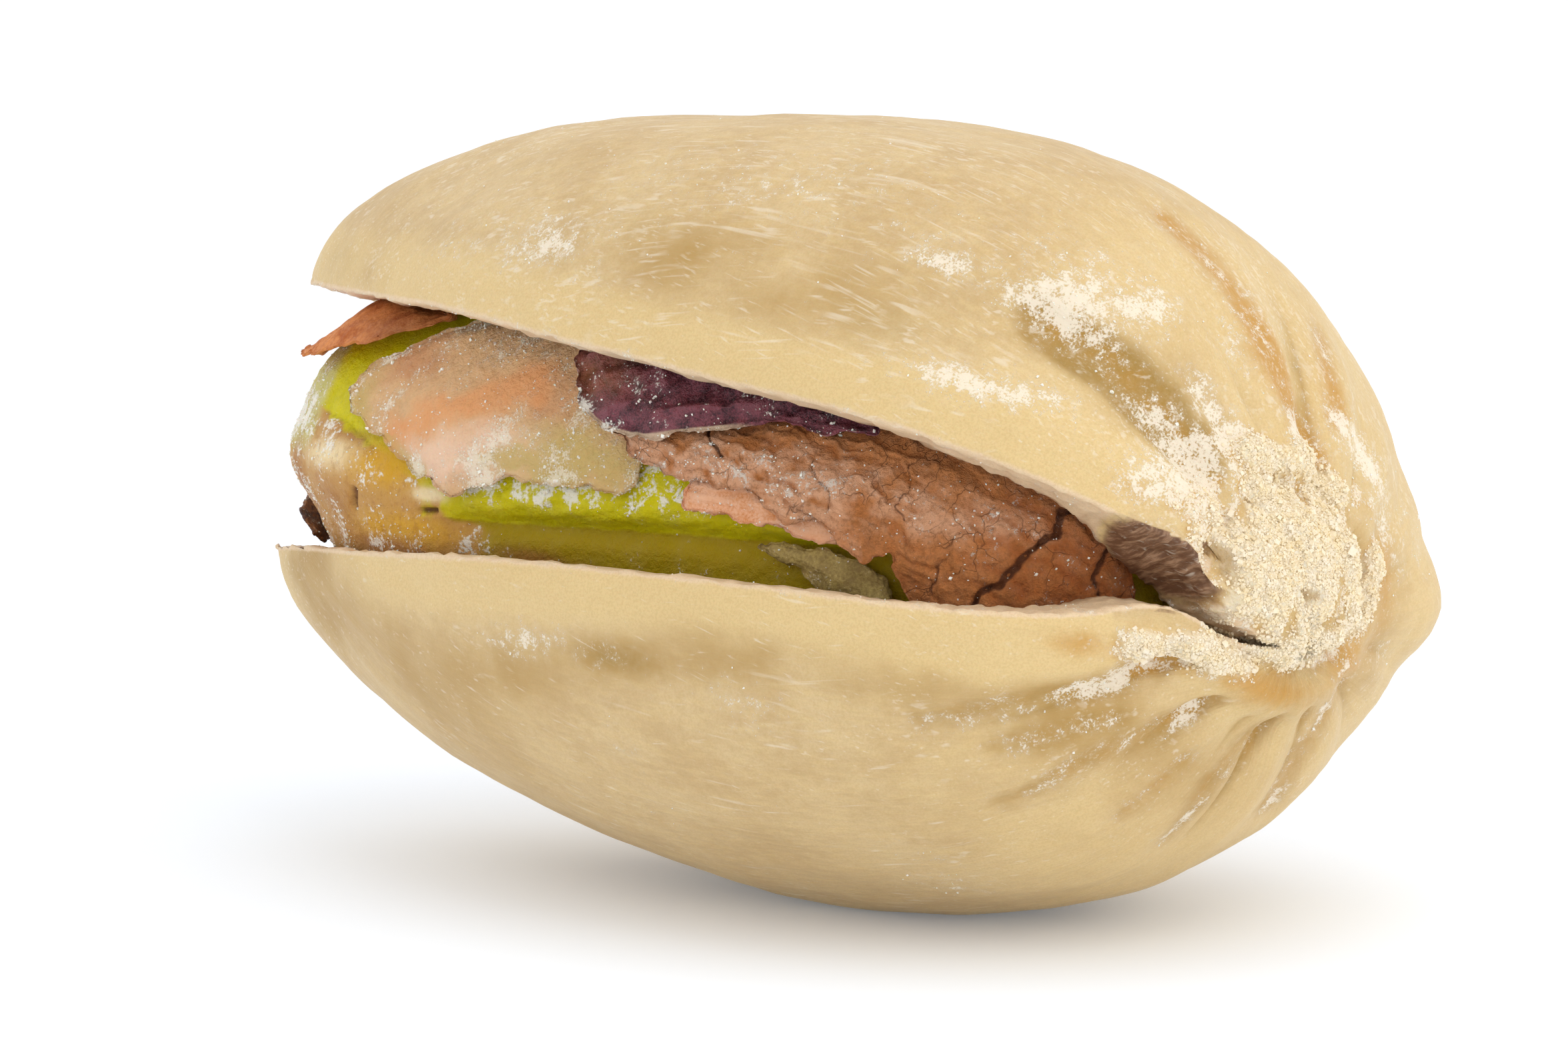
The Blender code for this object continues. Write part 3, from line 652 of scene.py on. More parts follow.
def crack_group():
    """A net of thin dark cracks."""
    tree, takes = new_group("Cracks", Scale=1.5, Width=0.05)
    bend = add(tree, "TexNoise", Vector=takes["Place"], Scale=1.6, Detail=3.0).outputs["Color"]
    shift = add(tree, "VectorMath", {"operation": "SCALE"}, Scale=0.9)
    plug(tree, shift.inputs[0], bend)
    moved = add(tree, "VectorMath", {"operation": "ADD"})
    plug(tree, moved.inputs[0], takes["Place"])
    plug(tree, moved.inputs[1], shift.outputs[0])
    edges = {"feature": "DISTANCE_TO_EDGE"}
    net = add(tree, "TexVoronoi", edges, Vector=moved.outputs[0], Scale=takes["Scale"])
    gap = remap(tree, net.outputs["Distance"], 0.0, takes["Width"], 1.0, 0.0)
    some = remap(tree, noise_at(tree, takes["Place"], 0.9, 2.0), 0.45, 0.6)
    shown = times(tree, gap, some)
    return close_group(tree, Mask=shown, Height=sums(tree, "SUBTRACT", 1.0, shown))


def ragged_group():
    """A mask whose edge is broken up by noise."""
    tree, takes = new_group("Ragged edge", Mask=0.5, Scale=3.0, Softness=0.3)
    broken = noise_at(tree, takes["Place"], takes["Scale"], 4.0, 0.65)
    jitter = sums(tree, "MULTIPLY_ADD", broken, 1.4, -0.7)
    near_edge = sums(tree, "PINGPONG", takes["Mask"], 0.5)
    moved = sums(tree, "ADD", takes["Mask"], times(tree, jitter, near_edge))
    low = sums(tree, "SUBTRACT", 0.5, takes["Softness"])
    high = sums(tree, "ADD", 0.5, takes["Softness"])
    return close_group(tree, Mask=remap(tree, moved, low, high))


GROUPS = {
    "Salt dust": salt_dust_group,
    "Mottling": mottle_group,
    "Streaks": streak_group,
    "Scratches": scratch_group,
    "Cracks": crack_group,
    "Ragged edge": ragged_group,
}


def effect(tree, name, **inputs):
    """Places a shared effect in a material."""
    shared = bpy.data.node_groups.get(name) or GROUPS[name]()
    made = tree.nodes.new("ShaderNodeGroup")
    made.node_tree = shared
    for label, value in inputs.items():
        plug(tree, made.inputs[label.replace("_", " ")], value)
    return made.outputs


def darker(tone, share):
    return tuple(share * part for part in tone)


class Finish:
    """A material that is built up from a base colour, one layer at a time."""

    def __init__(self, name, roughness, **constants):
        self.material = bpy.data.materials.new(name)
        self.material.use_nodes = True
        self.tree = self.material.node_tree
        self.shader = self.tree.nodes["Principled BSDF"]
        self.place = nut_place(self.tree)
        self.roughness = roughness
        self.heights = []
        for label, value in constants.items():
            self.shader.inputs[label.replace("_", " ")].default_value = value

    def effect(self, name, **inputs):
        """Places a shared effect that follows the place on the nut."""
        return effect(self.tree, name, Place=self.place, **inputs)

    def streaks(self, direction, scale):
        """Lines along a direction that is stored on the mesh."""
        flow = add(self.tree, "Attribute", {"attribute_name": direction}).outputs["Vector"]
        return effect(self.tree, "Streaks", Place=flow, Scale=scale)

    def noise(self, scale, detail=3.0, roughness=0.55):
        return noise_at(self.tree, self.place, scale, detail, roughness)

    def specks(self, low, high, *pattern):
        """Spots where a noise is high."""
        return remap(self.tree, self.noise(*pattern), low, high)

    def base(self, first, second, scale, fine=0.4, height=0.0):
        """Mottles two colours. The patches are finer at a higher scale, and fine is the share of specks."""
        found = self.effect("Mottling", Scale=scale, Fine_share=fine)
        self.colour = blend(self.tree, found["Mask"], first, second)
        self.raise_by(found["Height"], height)

    def layer(self, shown, colour, strength=1.0):
        if strength != 1.0:
            shown = times(self.tree, shown, strength)
        self.colour = blend(self.tree, shown, self.colour, colour)

    def tint(self, name, colour, scale=3.0, softness=0.4, strength=1.0):
        """Lays a colour where a mask of the mesh says. Its ragged edge is finer at a higher scale."""
        self.layer(self.ragged(name, scale, softness), colour, strength)

    def ragged(self, name, scale, softness):
        """A mask of the mesh with its edge broken up."""
        shown = mask(self.tree, name)
        return self.effect("Ragged edge", Mask=shown, Scale=scale, Softness=softness)["Mask"]

    def salt(self, colour, fineness, height, cover, veil):
        """Lays salt dust where the dust mask says: grains at the cover's strength and a thin veil between."""
        amount = mask(self.tree, "dust")
        found = self.effect("Salt dust", Amount=amount, Fineness=fineness, Cover=cover, Veil=veil)
        self.layer(found["Mask"], colour)
        self.raise_by(found["Height"], height)
        self.roughness = between(self.tree, found["Mask"], self.roughness, SALT_ROUGHNESS)

    def raise_by(self, height, amount):
        """Adds a height, in mm for a full step, to the bump."""
        if amount:
            self.heights.append(times(self.tree, height, amount * MM))

    def grit(self, amount, *pattern):
        """Adds a noise to the bump."""
        self.raise_by(self.noise(*pattern), amount)

    def done(self):
        """Joins what was laid to the shader and gives the material."""
        plug(self.tree, self.shader.inputs["Base Color"], self.colour)
        plug(self.tree, self.shader.inputs["Roughness"], self.roughness)
        if self.heights:
            total = self.heights[0]
            for height in self.heights[1:]:
                total = sums(self.tree, "ADD", total, height)
            bump = add(self.tree, "Bump", Strength=1.0, Distance=1.0, Height=total)
            self.tree.links.new(bump.outputs[0], self.shader.inputs["Normal"])
        return self.material


# What a user would change

def colour(name, description, default):
    return FloatVectorProperty(
        name=name, description=description, default=default, subtype="COLOR", size=3, min=0.0, max=1.0
    )


def number(name, description, default, **limits):
    return FloatProperty(name=name, description=description, default=default, **limits)


def length(name, description, default):
    return number(name, description, default, min=0.0, unit="LENGTH")


def count(name, description, default):
    return IntProperty(name=name, description=description, default=default, min=0)


class PistachioColours(bpy.types.PropertyGroup):
    ivory: colour("Shell ivory", "Main colour of the shell", (0.69, 0.51, 0.265))
    ivory_deep: colour("Shell buff", "The shell's darker patches", (0.58, 0.40, 0.19))
    # Painted shade: the olive darkening laid into the shell's furrows and hollows
    furrow: colour("Furrow olive", "Greenish shade in the shell's furrows and hollows", (0.33, 0.20, 0.045))
    # Also laid in the furrows and hollows as painted shade
    ochre: colour("Stain ochre", "Brown stains near the stem scar", (0.56, 0.28, 0.045))
    # Partly the shell's own warmer tone, partly painted shade at its left end
    tan: colour("Shell tan", "Warm darker patches of the shell", (0.48, 0.30, 0.10))
    dust: colour("Dust on the shell", "Fine salt rubbed into the shell", (0.90, 0.81, 0.66))
    amber: colour("Germ amber", "Glassy yellow-brown part of the germ", (0.68, 0.36, 0.02))
    # Also painted light on the ridges between the furrows near the scar
    lip: colour("Lip ivory", "Warm smooth band along the split", (0.76, 0.56, 0.26))
    broken: colour("Broken edge", "Pinkish broken edge of the shell", (0.80, 0.60, 0.40))
    inside: colour("Shell inside", "Inner face of the shell", (0.50, 0.33, 0.17))
    crust: colour("Crust cream", "Crust on the stem scar", (0.89, 0.745, 0.48))
    crust_white: colour("Crust white", "Salted parts of the crust", (0.88, 0.785, 0.63))
    # Partly ochre, partly painted shade in the crust's pits and its ditch
    crust_deep: colour("Crust ochre", "Deep places in the crust", (0.46, 0.27, 0.075))
    fibre: colour("Stalk fibre", "Dried stalk under the upper lip", (0.15, 0.07, 0.035))
    fibre_light: colour("Stalk fibre light", "Light strands of the dried stalk", (0.36, 0.21, 0.12))
    salt: colour("Salt", "Salt dust and grains", (0.93, 0.89, 0.80))
    kernel: colour("Kernel green", "Bright flesh of the kernel", (0.70, 0.61, 0.004))
    kernel_deep: colour("Kernel olive", "Shaded flesh of the lower seed leaf", (0.42, 0.29, 0.004))
    germ: colour("Germ ochre", "Cream and ochre end of the kernel", (0.56, 0.30, 0.085))
    germ_pale: colour("Germ cream", "Palest part of the germ", (0.90, 0.72, 0.42))
    germ_brown: colour("Germ brown", "Brown skin left on the kernel", (0.36, 0.14, 0.035))
    kernel_pale: colour("Kernel pale green", "Salted green at the kernel's tip", (0.60, 0.54, 0.20))
    russet: colour("Russet coat", "Large flake of seed coat", (0.72, 0.27, 0.08))
    russet_light: colour("Russet coat light", "Flaky light parts of the russet coat", (0.90, 0.50, 0.30))
    russet_dark: colour("Russet coat dark", "Darkest parts and cracks of the coat", (0.11, 0.032, 0.012))
    plum: colour("Plum coat", "Dark flake under the upper lip", (0.03, 0.006, 0.012))
    # Also a painted highlight on the tops of the plum flake's folds
    plum_pale_and_highlight: colour("Plum coat light", "Lighter parts of the plum flake", (0.24, 0.06, 0.08))
    straw: colour("Straw coat", "Large pale flake", (0.72, 0.44, 0.22))
    straw_orange: colour("Straw coat orange", "Orange streak of the pale flake", (0.76, 0.31, 0.11))
    straw_pink: colour("Straw coat pink", "Pink part of the pale flake", (0.86, 0.57, 0.40))
    straw_green: colour("Straw coat green", "Where the kernel shows through the flake", (0.52, 0.38, 0.11))
    flap: colour("Copper flap", "Pointed flake at the tip", (0.42, 0.10, 0.016))
    olive: colour("Olive coat", "Small flake over the lower seed leaf", (0.28, 0.18, 0.045))


class PistachioSizes(bpy.types.PropertyGroup):
    crust_height: length("Crust height", "How far the crust stands out", 0.05 * MM)
    crust_grain: length("Crust grain", "Height of the crust's lumps", 0.11 * MM)
    edge_chips: length("Edge chips", "How ragged the broken edges are", 0.045 * MM)
    shell_waves: length("Shell waves", "Height of the shell's soft unevenness", 0.028 * MM)
    coat_tears: length("Coat tears", "How ragged the coat's torn edges are", 0.075 * MM)
    coat_edge: length("Coat edge", "How much thinner the coat is at its edges", 0.085 * MM)
    salt_size: length("Salt size", "Typical radius of a salt grain", 0.014 * MM)
    salt_count: count("Salt grains", "Number of loose salt grains", 12000)
    crumb_size: length("Crumb size", "Typical radius of a crumb of the crust", 0.021 * MM)
    crumb_count: count("Crumbs", "Number of crumbs on the crust", 15000)


class StageSettings(bpy.types.PropertyGroup):
    azimuth: number("Azimuth", "Camera's angle round the nut", math.radians(33.821), unit="ROTATION")
    elevation: number("Elevation", "Camera's angle above the floor", math.radians(9.188), unit="ROTATION")
    distance: length("Distance", "From the camera to the nut", 0.2)
    lens: number("Lens", "Focal length in mm", 276.2, min=1.0)
    aim: FloatVectorProperty(
        name="Aim", description="Where the camera looks", subtype="TRANSLATION", unit="LENGTH", size=3,
        default=(-0.5503 * MM, -0.0739 * MM, 6.0407 * MM),
    )
    floor: colour("Floor", "Colour of the floor", (0.93, 0.96, 1.0))
    floor_glow: number("Floor glow", "Light that the floor gives off, to soften the shadow", 0.1, min=0.0)
    fill: number("Fill light", "Strength of the light from all around", 1.0, min=0.0)
    key: number("Key light", "Power of the main soft light in watts", 0.026, min=0.0)


# Pieces

def shell_material(tones):
    finish = Finish(
        "split shell ivory", 0.5, Subsurface_Weight=0.06, Subsurface_Scale=0.6 * MM, Specular_IOR_Level=0.3
    )
    tree = finish.tree
    finish.base(tones.ivory, tones.ivory_deep, 0.55, 0.3, 0.004)
    finish.layer(finish.streaks("flow", 3.2)["Mask"], tones.ivory_deep, 0.4)
    fine = finish.streaks("flow", 9.0)
    finish.layer(fine["Mask"], tones.lip, 0.35)
    finish.raise_by(fine["Height"], 0.02)
    # Partly the shell's own warmer tone, partly painted shade at its left end
    finish.tint("tan", tones.tan, 0.9, 0.5)
    # The warm lip band, and painted light on the ridges between the furrows
    finish.tint("lip", tones.lip, 1.5, 0.45, 0.8)
    # Painted shade: olive darkening in the furrows, the hollows, the dent and at the left end
    finish.tint("shade", tones.furrow, 2.2, 0.5, 0.95)
    # Ochre stains, and ochre laid in the furrows and hollows as painted shade
    finish.tint("ochre", tones.ochre, 3.0, 0.5, 0.9)
    finish.tint("edge", tones.broken, 8.0, 0.3, 0.85)
    finish.tint("inside", tones.inside, 2.0, 0.2)
    finish.layer(finish.specks(0.42, 0.62, 24.0, 3.0, 0.7), tones.tan, 0.22)
    strands = finish.streaks("strands", 2.5)
    finish.tint("fibre", blend(tree, strands["Mask"], tones.fibre, tones.fibre_light), 4.0, 0.3)
    scratches = finish.effect("Scratches", Amount=mask(tree, "worn"))
    finish.layer(scratches["Mask"], tones.dust, 0.38)
    finish.salt(tones.dust, 24.0, 0.012, 0.8, 0.25)
    crusty = finish.ragged("crust", 6.0, 0.4)
    crust = finish.effect("Mottling", Scale=1.1, Fine_share=0.5)
    finish.layer(crusty, blend(tree, crust["Mask"], tones.crust, tones.crust_white))
    finish.layer(times(tree, crusty, finish.specks(0.52, 0.66, 16.0, 3.0, 0.75)), tones.ochre, 0.3)
    # Partly ochre, partly painted shade in the crust's pits and its ditch
    finish.tint("pit", tones.crust_deep, 7.0, 0.5, 0.7)
    finish.raise_by(times(tree, crusty, finish.noise(16.0, 3.0, 0.6)), 0.035)
    return finish


def crust_amount(points, spread=1.0):
    """Where the crust is, from 0 to 1. A larger spread takes in what is round it."""
    wobble = 0.34 * rough(points, 0.55, 5, 5)
    centre, reach = CRUST_MOUND
    away = np.sqrt((((points - np.array(centre)) / np.array(reach)) ** 2).sum(-1))
    total = 1 - ease(away / spread + wobble, 0.72, 1.12)
    for line, width in CRUST_LINES:
        total = np.maximum(total, 1 - ease(near_line(points, line) / (width * spread) + wobble, 0.5, 1.5))
    return total


class PISTACHIO_OT_shell(bpy.types.Operator):
    """Shapes and colours the split shell, with its furrows, ragged lips and crusted stem scar"""

    bl_idname = "pistachio.shell"
    bl_label = "Split shell"

    def execute(self, context):
        sizes, tones = context.scene.pistachio_sizes, context.scene.pistachio_colours
        piece = skin_of("shell", "split_shell", levels=2, crease=0.55, rim_zone=self.near_split)
        refine(piece, lambda places: (places[:, 0] > 6.0) & (places[:, 1] < 2.0), side=0.13)
        refine(piece, lambda places: (crust_amount(places, 1.15) > 0.05) & (places[:, 1] < 1.5), side=0.06)
        refine(piece, lambda places: (crust_amount(places) > 0.1) & (places[:, 1] < 1.0), side=0.05)
        skin = Skin(piece)
        points = skin.points

        # Where its parts are
        y, z = points[:, 1] - FAN_POLE[0], points[:, 2] - FAN_POLE[1]
        reach = np.hypot(y, z) + 1e-6
        flow = np.stack([4.5 * y / reach, 4.5 * z / reach, 0.22 * points[:, 0]], -1)
        across = skin.normals[:, 1] * points[:, 1] / SHELL_WIDE
        across = across + skin.normals[:, 2] * (points[:, 2] - SHELL_MIDDLE) / SHELL_WIDE
        outward = across + skin.normals[:, 0] * points[:, 0] / SHELL_LONG
        inside = (outward < -0.05) & (skin.rim > 0.02)
        outer = ease(skin.rim, 0.0, 0.25) * ~inside
        crust = crust_amount(points) * (1 - inside)
        pitted = warp(points, 0.2, 0.07, 60)
        pits = marks(pitted, [(place, size, 0.9) for place, size, _ in CRUST_PITS]) * (1 - inside)
        ditch = along(warp(points, 0.4, 0.1, 67), CRUST_DITCH, DITCH_WIDTH) * (1 - inside)
        fibre = blob(points, *FUNICLE) * 2.4 * (inside | (skin.normals[:, 2] < -0.1)) * (points[:, 2] > -0.5)
        crust = crust * (1 - ease(fibre, 0.2, 0.6))
        hollow = ease(read_mask(piece.data, "hollow"), 0.01, 0.13) * ease(skin.rim, 0.3, 0.9) * (1 - inside)
        near_scar = ease(points[:, 0], 4.0, 8.0)
        furrow = furrow_marks(warp(points, 0.6, 0.08, 64)) * outer

        # Its relief
        height = outer * sizes.shell_waves / MM * (rough(points, 1.4, 3, 1) + 0.6 * rough(flow, 0.5, 3, 2))
        height -= HOLLOW_DEPTH * hollow * near_scar + furrow[0] + DITCH_DEPTH * ditch
        crusted = crust > 0.01
        lumps = np.zeros(len(points))
        lumps[crusted] = 0.8 * beads(points[crusted], 0.17) + 0.5 * beads(points[crusted], 0.085)
        lumps = 0.45 * lumps + 0.8 * rough(points, 0.45, 4, 3)
        crust_form = sizes.crust_height / MM + sizes.crust_grain / MM * lumps
        height += crust * ease(skin.rim, -0.2, 0.3) * crust_form
        for place, size, depth in CRUST_PITS:
            height -= depth * blob(pitted, place, size) * (1 - inside)
        chips = rough(points, 0.22, 4, 7) - 0.2
        height += sizes.edge_chips / MM * chips * (1 - ease(skin.rim, 0.0, 0.16))
        skin.push(height)

        # Its masks
        patchy = 0.75 + 0.5 * rough(points, 0.9, 3, 9)
        around = crust_amount(points, 1.4) * (1 - crust)
        lip = (1 - ease(skin.rim, 0.5, 1.6)) * (outward > 0) * (points[:, 0] < 9.0)
        # Painted light: lighter on the ridges between the furrows near the scar
        ridges = 0.6 * near_scar * (1 - furrow[1:].max(0)) * outer
        # Partly the shell's own warmer tone, partly painted shade toward the left end
        tan = marks(points, SHELL_TAN_AND_SHADE) * (0.8 + 0.4 * rough(points, 1.3, 3, 19))
        dust = marks(points, SHELL_DUST) * patchy + 0.15 * ease(points[:, 2], 1.0, 5.0) + 0.05
        dust += furrow[3] * (0.6 + 0.6 * rough(points, 0.5, 3, 10)) + 0.25 * hollow * near_scar
        dust += 0.5 * (1 - ease(skin.rim, 0.0, 0.22)) * np.clip(0.4 + rough(points, 0.3, 3, 20), 0, 1)
        dust += 0.75 * around * (0.8 + 0.5 * rough(points, 0.4, 3, 17))
        write_vector(piece.data, "flow", flow)
        write_vector(piece.data, "strands", points @ STRAND_TURN.T)
        skin.keep({
            "dust": np.where(inside, 0.15, dust) * (1 - ease(fibre, 0.3, 0.8)),
            "worn": 0.35 + 0.5 * ease(points[:, 2], 0.0, 4.0) + 0.3 * rough(points, 2.5, 2, 18),
            # Partly warmer tone, partly painted shade at the left end
            "tan": tan,
            # Painted shade: olive darkening from the marks, the furrows and the hollows
            "shade": marks(points, SHELL_PAINTED_SHADE) * 0.85 + furrow[1] + 0.8 * hollow * (0.45 + 0.55 * near_scar),
            # Ochre stains, ochre round the crust, and ochre in the furrows and hollows as painted shade
            "ochre": marks(points, SHELL_OCHRE) + furrow[2] + 0.4 * hollow * near_scar + 0.5 * around,
            # The lip band and the painted light on the ridges
            "lip": (lip + ridges) * (1 - 0.85 * np.clip(tan, 0, 1)),
            "edge": (1 - ease(skin.rim, 0.02, 0.14)) * (1 - inside) * 0.9 * (1 - ease(fibre, 0.2, 0.6)),
            "inside": inside * ease(skin.rim, 0.1, 0.5),
            "fibre": fibre,
            "crust": crust,
            "crumbs": (0.9 * crust + 0.45 * around) * (1 - np.maximum(pits, 0.8 * ditch)) * (fibre < 0.15),
            # Painted shade in the crust's pits and ditch, partly ochre
            "pit": np.maximum(pits, 0.75 * ditch),
        })
        wear(piece, shell_material(tones), "shell", "shell")
        return {"FINISHED"}

    def near_split(self, points):
        """Whether points are near enough to the split to be on its rims, and not on a furrow's steep side."""
        far = ease(points[:, 0], 1.0, 8.0)
        return (points[:, 2] > -1.8 + 0.85 * far) & (points[:, 2] < 3.3 - 1.7 * far)


class PISTACHIO_OT_kernel(bpy.types.Operator):
    """Shapes and colours the kernel, with its two seed leaves and the germ"""

    bl_idname = "pistachio.kernel"
    bl_label = "Kernel"

    def execute(self, context):
        tones = context.scene.pistachio_colours
        piece = skin_of("kernel", "green_kernel", levels=2)
        refine(piece, self.in_split, side=0.05)
        skin = Skin(piece)
        points = skin.points
        x, z = points[:, 0], points[:, 2]
        front = points[:, 1] < 0
        above = z - (-0.45 + 0.055 * x)
        height = 0.02 * rough(points, 0.5, 3, 11) + 0.012 * rough(points, 0.12, 2, 12)
        slit = deepest(points[:, (0, 2)], KERNEL_SLITS) * front
        height -= SLIT_DEPTH * slit
        ledge = np.exp(-(((above - 0.42) / 0.22) ** 2)) * ease(x, -5.2, -4.2) * front
        height += LEDGE_HEIGHT * ledge * rough(points, 0.16, 3, 13)
        skin.push(height)
        upper = ease(above, -0.1, 0.1)
        germ = upper * (1 - ease(x + 0.4 * rough(points, 0.4, 3, 14), -5.2, -4.7))
        germ += (1 - upper) * (1 - ease(x + 1.1 * rough(points, 0.5, 3, 14), -5.8, -2.6))
        germ *= 1 - ease(z - 0.75 + 0.35 * (x + 8.0) + 0.1 * rough(points, 0.3, 2, 17), -0.1, 0.1)
        low = (1 - ease(above, -0.05, 0.1)) * ease(x, -6.0, -4.5)
        tip = (1 - ease(x, -8.7, -8.2)) * ease(z, -0.2, 0.6)
        crumbs = ease(above, 0.1, 0.6) * ease(x, -5.0, -4.4) * (0.85 + 1.3 * rough(points, 0.2, 3, 16))
        crumbs = np.clip(crumbs, 0, 1)
        salted = 0.5 + 0.7 * rough(points, 0.5, 3, 15)
        film = ease(points[:, 1] + 0.8 * rough(points, 1.5, 3, 18), -0.8, 0.6)
        dust = 0.14 + 0.75 * crumbs * front + 0.35 * tip + germ * (0.12 + 0.4 * salted) + 0.12 * low * salted
        skin.keep({
            "dust": dust,
            "germ": germ,
            "amber": marks(points, KERNEL_AMBER),
            "pale": marks(points, KERNEL_PALE) * front,
            "brown": marks(points, KERNEL_BROWN),
            "film": film,
            "low": low * 0.95,
            "tip": tip,
            # Painted shade in the slits and the shadow line under the facet
            "pit": slit,
        })
        wear(piece, self.material(tones), "kernel", "kernel")
        return {"FINISHED"}

    def in_split(self, points):
        """Whether points can be seen through the front split."""
        return (points[:, 1] < -1.0) & (abs(points[:, 2]) < 2.2) & (points[:, 0] < 5.5)

    def material(self, tones):
        finish = Finish(
            "kernel green", 0.45, Subsurface_Weight=0.12, Subsurface_Scale=0.6 * MM, Specular_IOR_Level=0.12
        )
        tree = finish.tree
        finish.base(tones.kernel, darker(tones.kernel, 0.82), 1.2, 0.3, 0.01)
        finish.tint("low", tones.kernel_deep, 2.0, 0.3)
        finish.tint("germ", tones.germ, 2.5, 0.35)
        finish.tint("pale", tones.germ_pale, 3.0, 0.45)
        finish.tint("amber", tones.amber, 2.5, 0.5, 0.95)
        finish.tint("tip", tones.kernel_pale, 2.5, 0.4, 0.85)
        finish.tint("brown", tones.germ_brown, 3.0, 0.5, 0.75)
        speck = times(tree, finish.specks(0.5, 0.65, 7.0, 4.0, 0.7), mask(tree, "germ"))
        finish.layer(speck, tones.germ_brown, 0.35)
        film = finish.effect("Mottling", Scale=1.5, Fine_share=0.4)["Mask"]
        finish.tint("film", blend(tree, film, tones.germ_brown, tones.straw_green), 2.0, 0.4, 0.9)
        # Painted shade in the slits and under the facet
        finish.tint("pit", tones.russet_dark, 8.0, 0.35, 0.9)
        finish.grit(0.05, 10.0, 4.0, 0.7)
        finish.salt(tones.salt, 13.0, 0.018, 0.85, 0.12)
        return finish


def coat_skin(node, name, sizes):
    """A flake's skin with thin ragged edges, and how far its points are on its outer face and thin."""
    piece = skin_of(node, name, levels=3, crease=0.25)
    skin = Skin(piece)
    spoke = (skin.points - EGG_MIDDLE) / EGG_HALF ** 2
    spoke /= np.linalg.norm(spoke, axis=-1, keepdims=True)
    facing = (skin.normals * spoke).sum(-1)
    outer = ease(facing, 0.2, 0.7)
    thin = 1 - ease(skin.rim, 0.02, 0.4)
    skin.points = skin.points - spoke * (sizes.coat_edge / MM * thin * outer)[:, None]
    torn = sizes.coat_tears / MM * rough(skin.points, 0.28, 4, len(name)) * (1 - ease(skin.rim, 0.02, 0.2))
    side = skin.normals - spoke * facing[:, None]
    skin.points = skin.points + side * torn[:, None]
    return piece, skin, outer * ease(skin.rim, 0.0, 0.15), thin


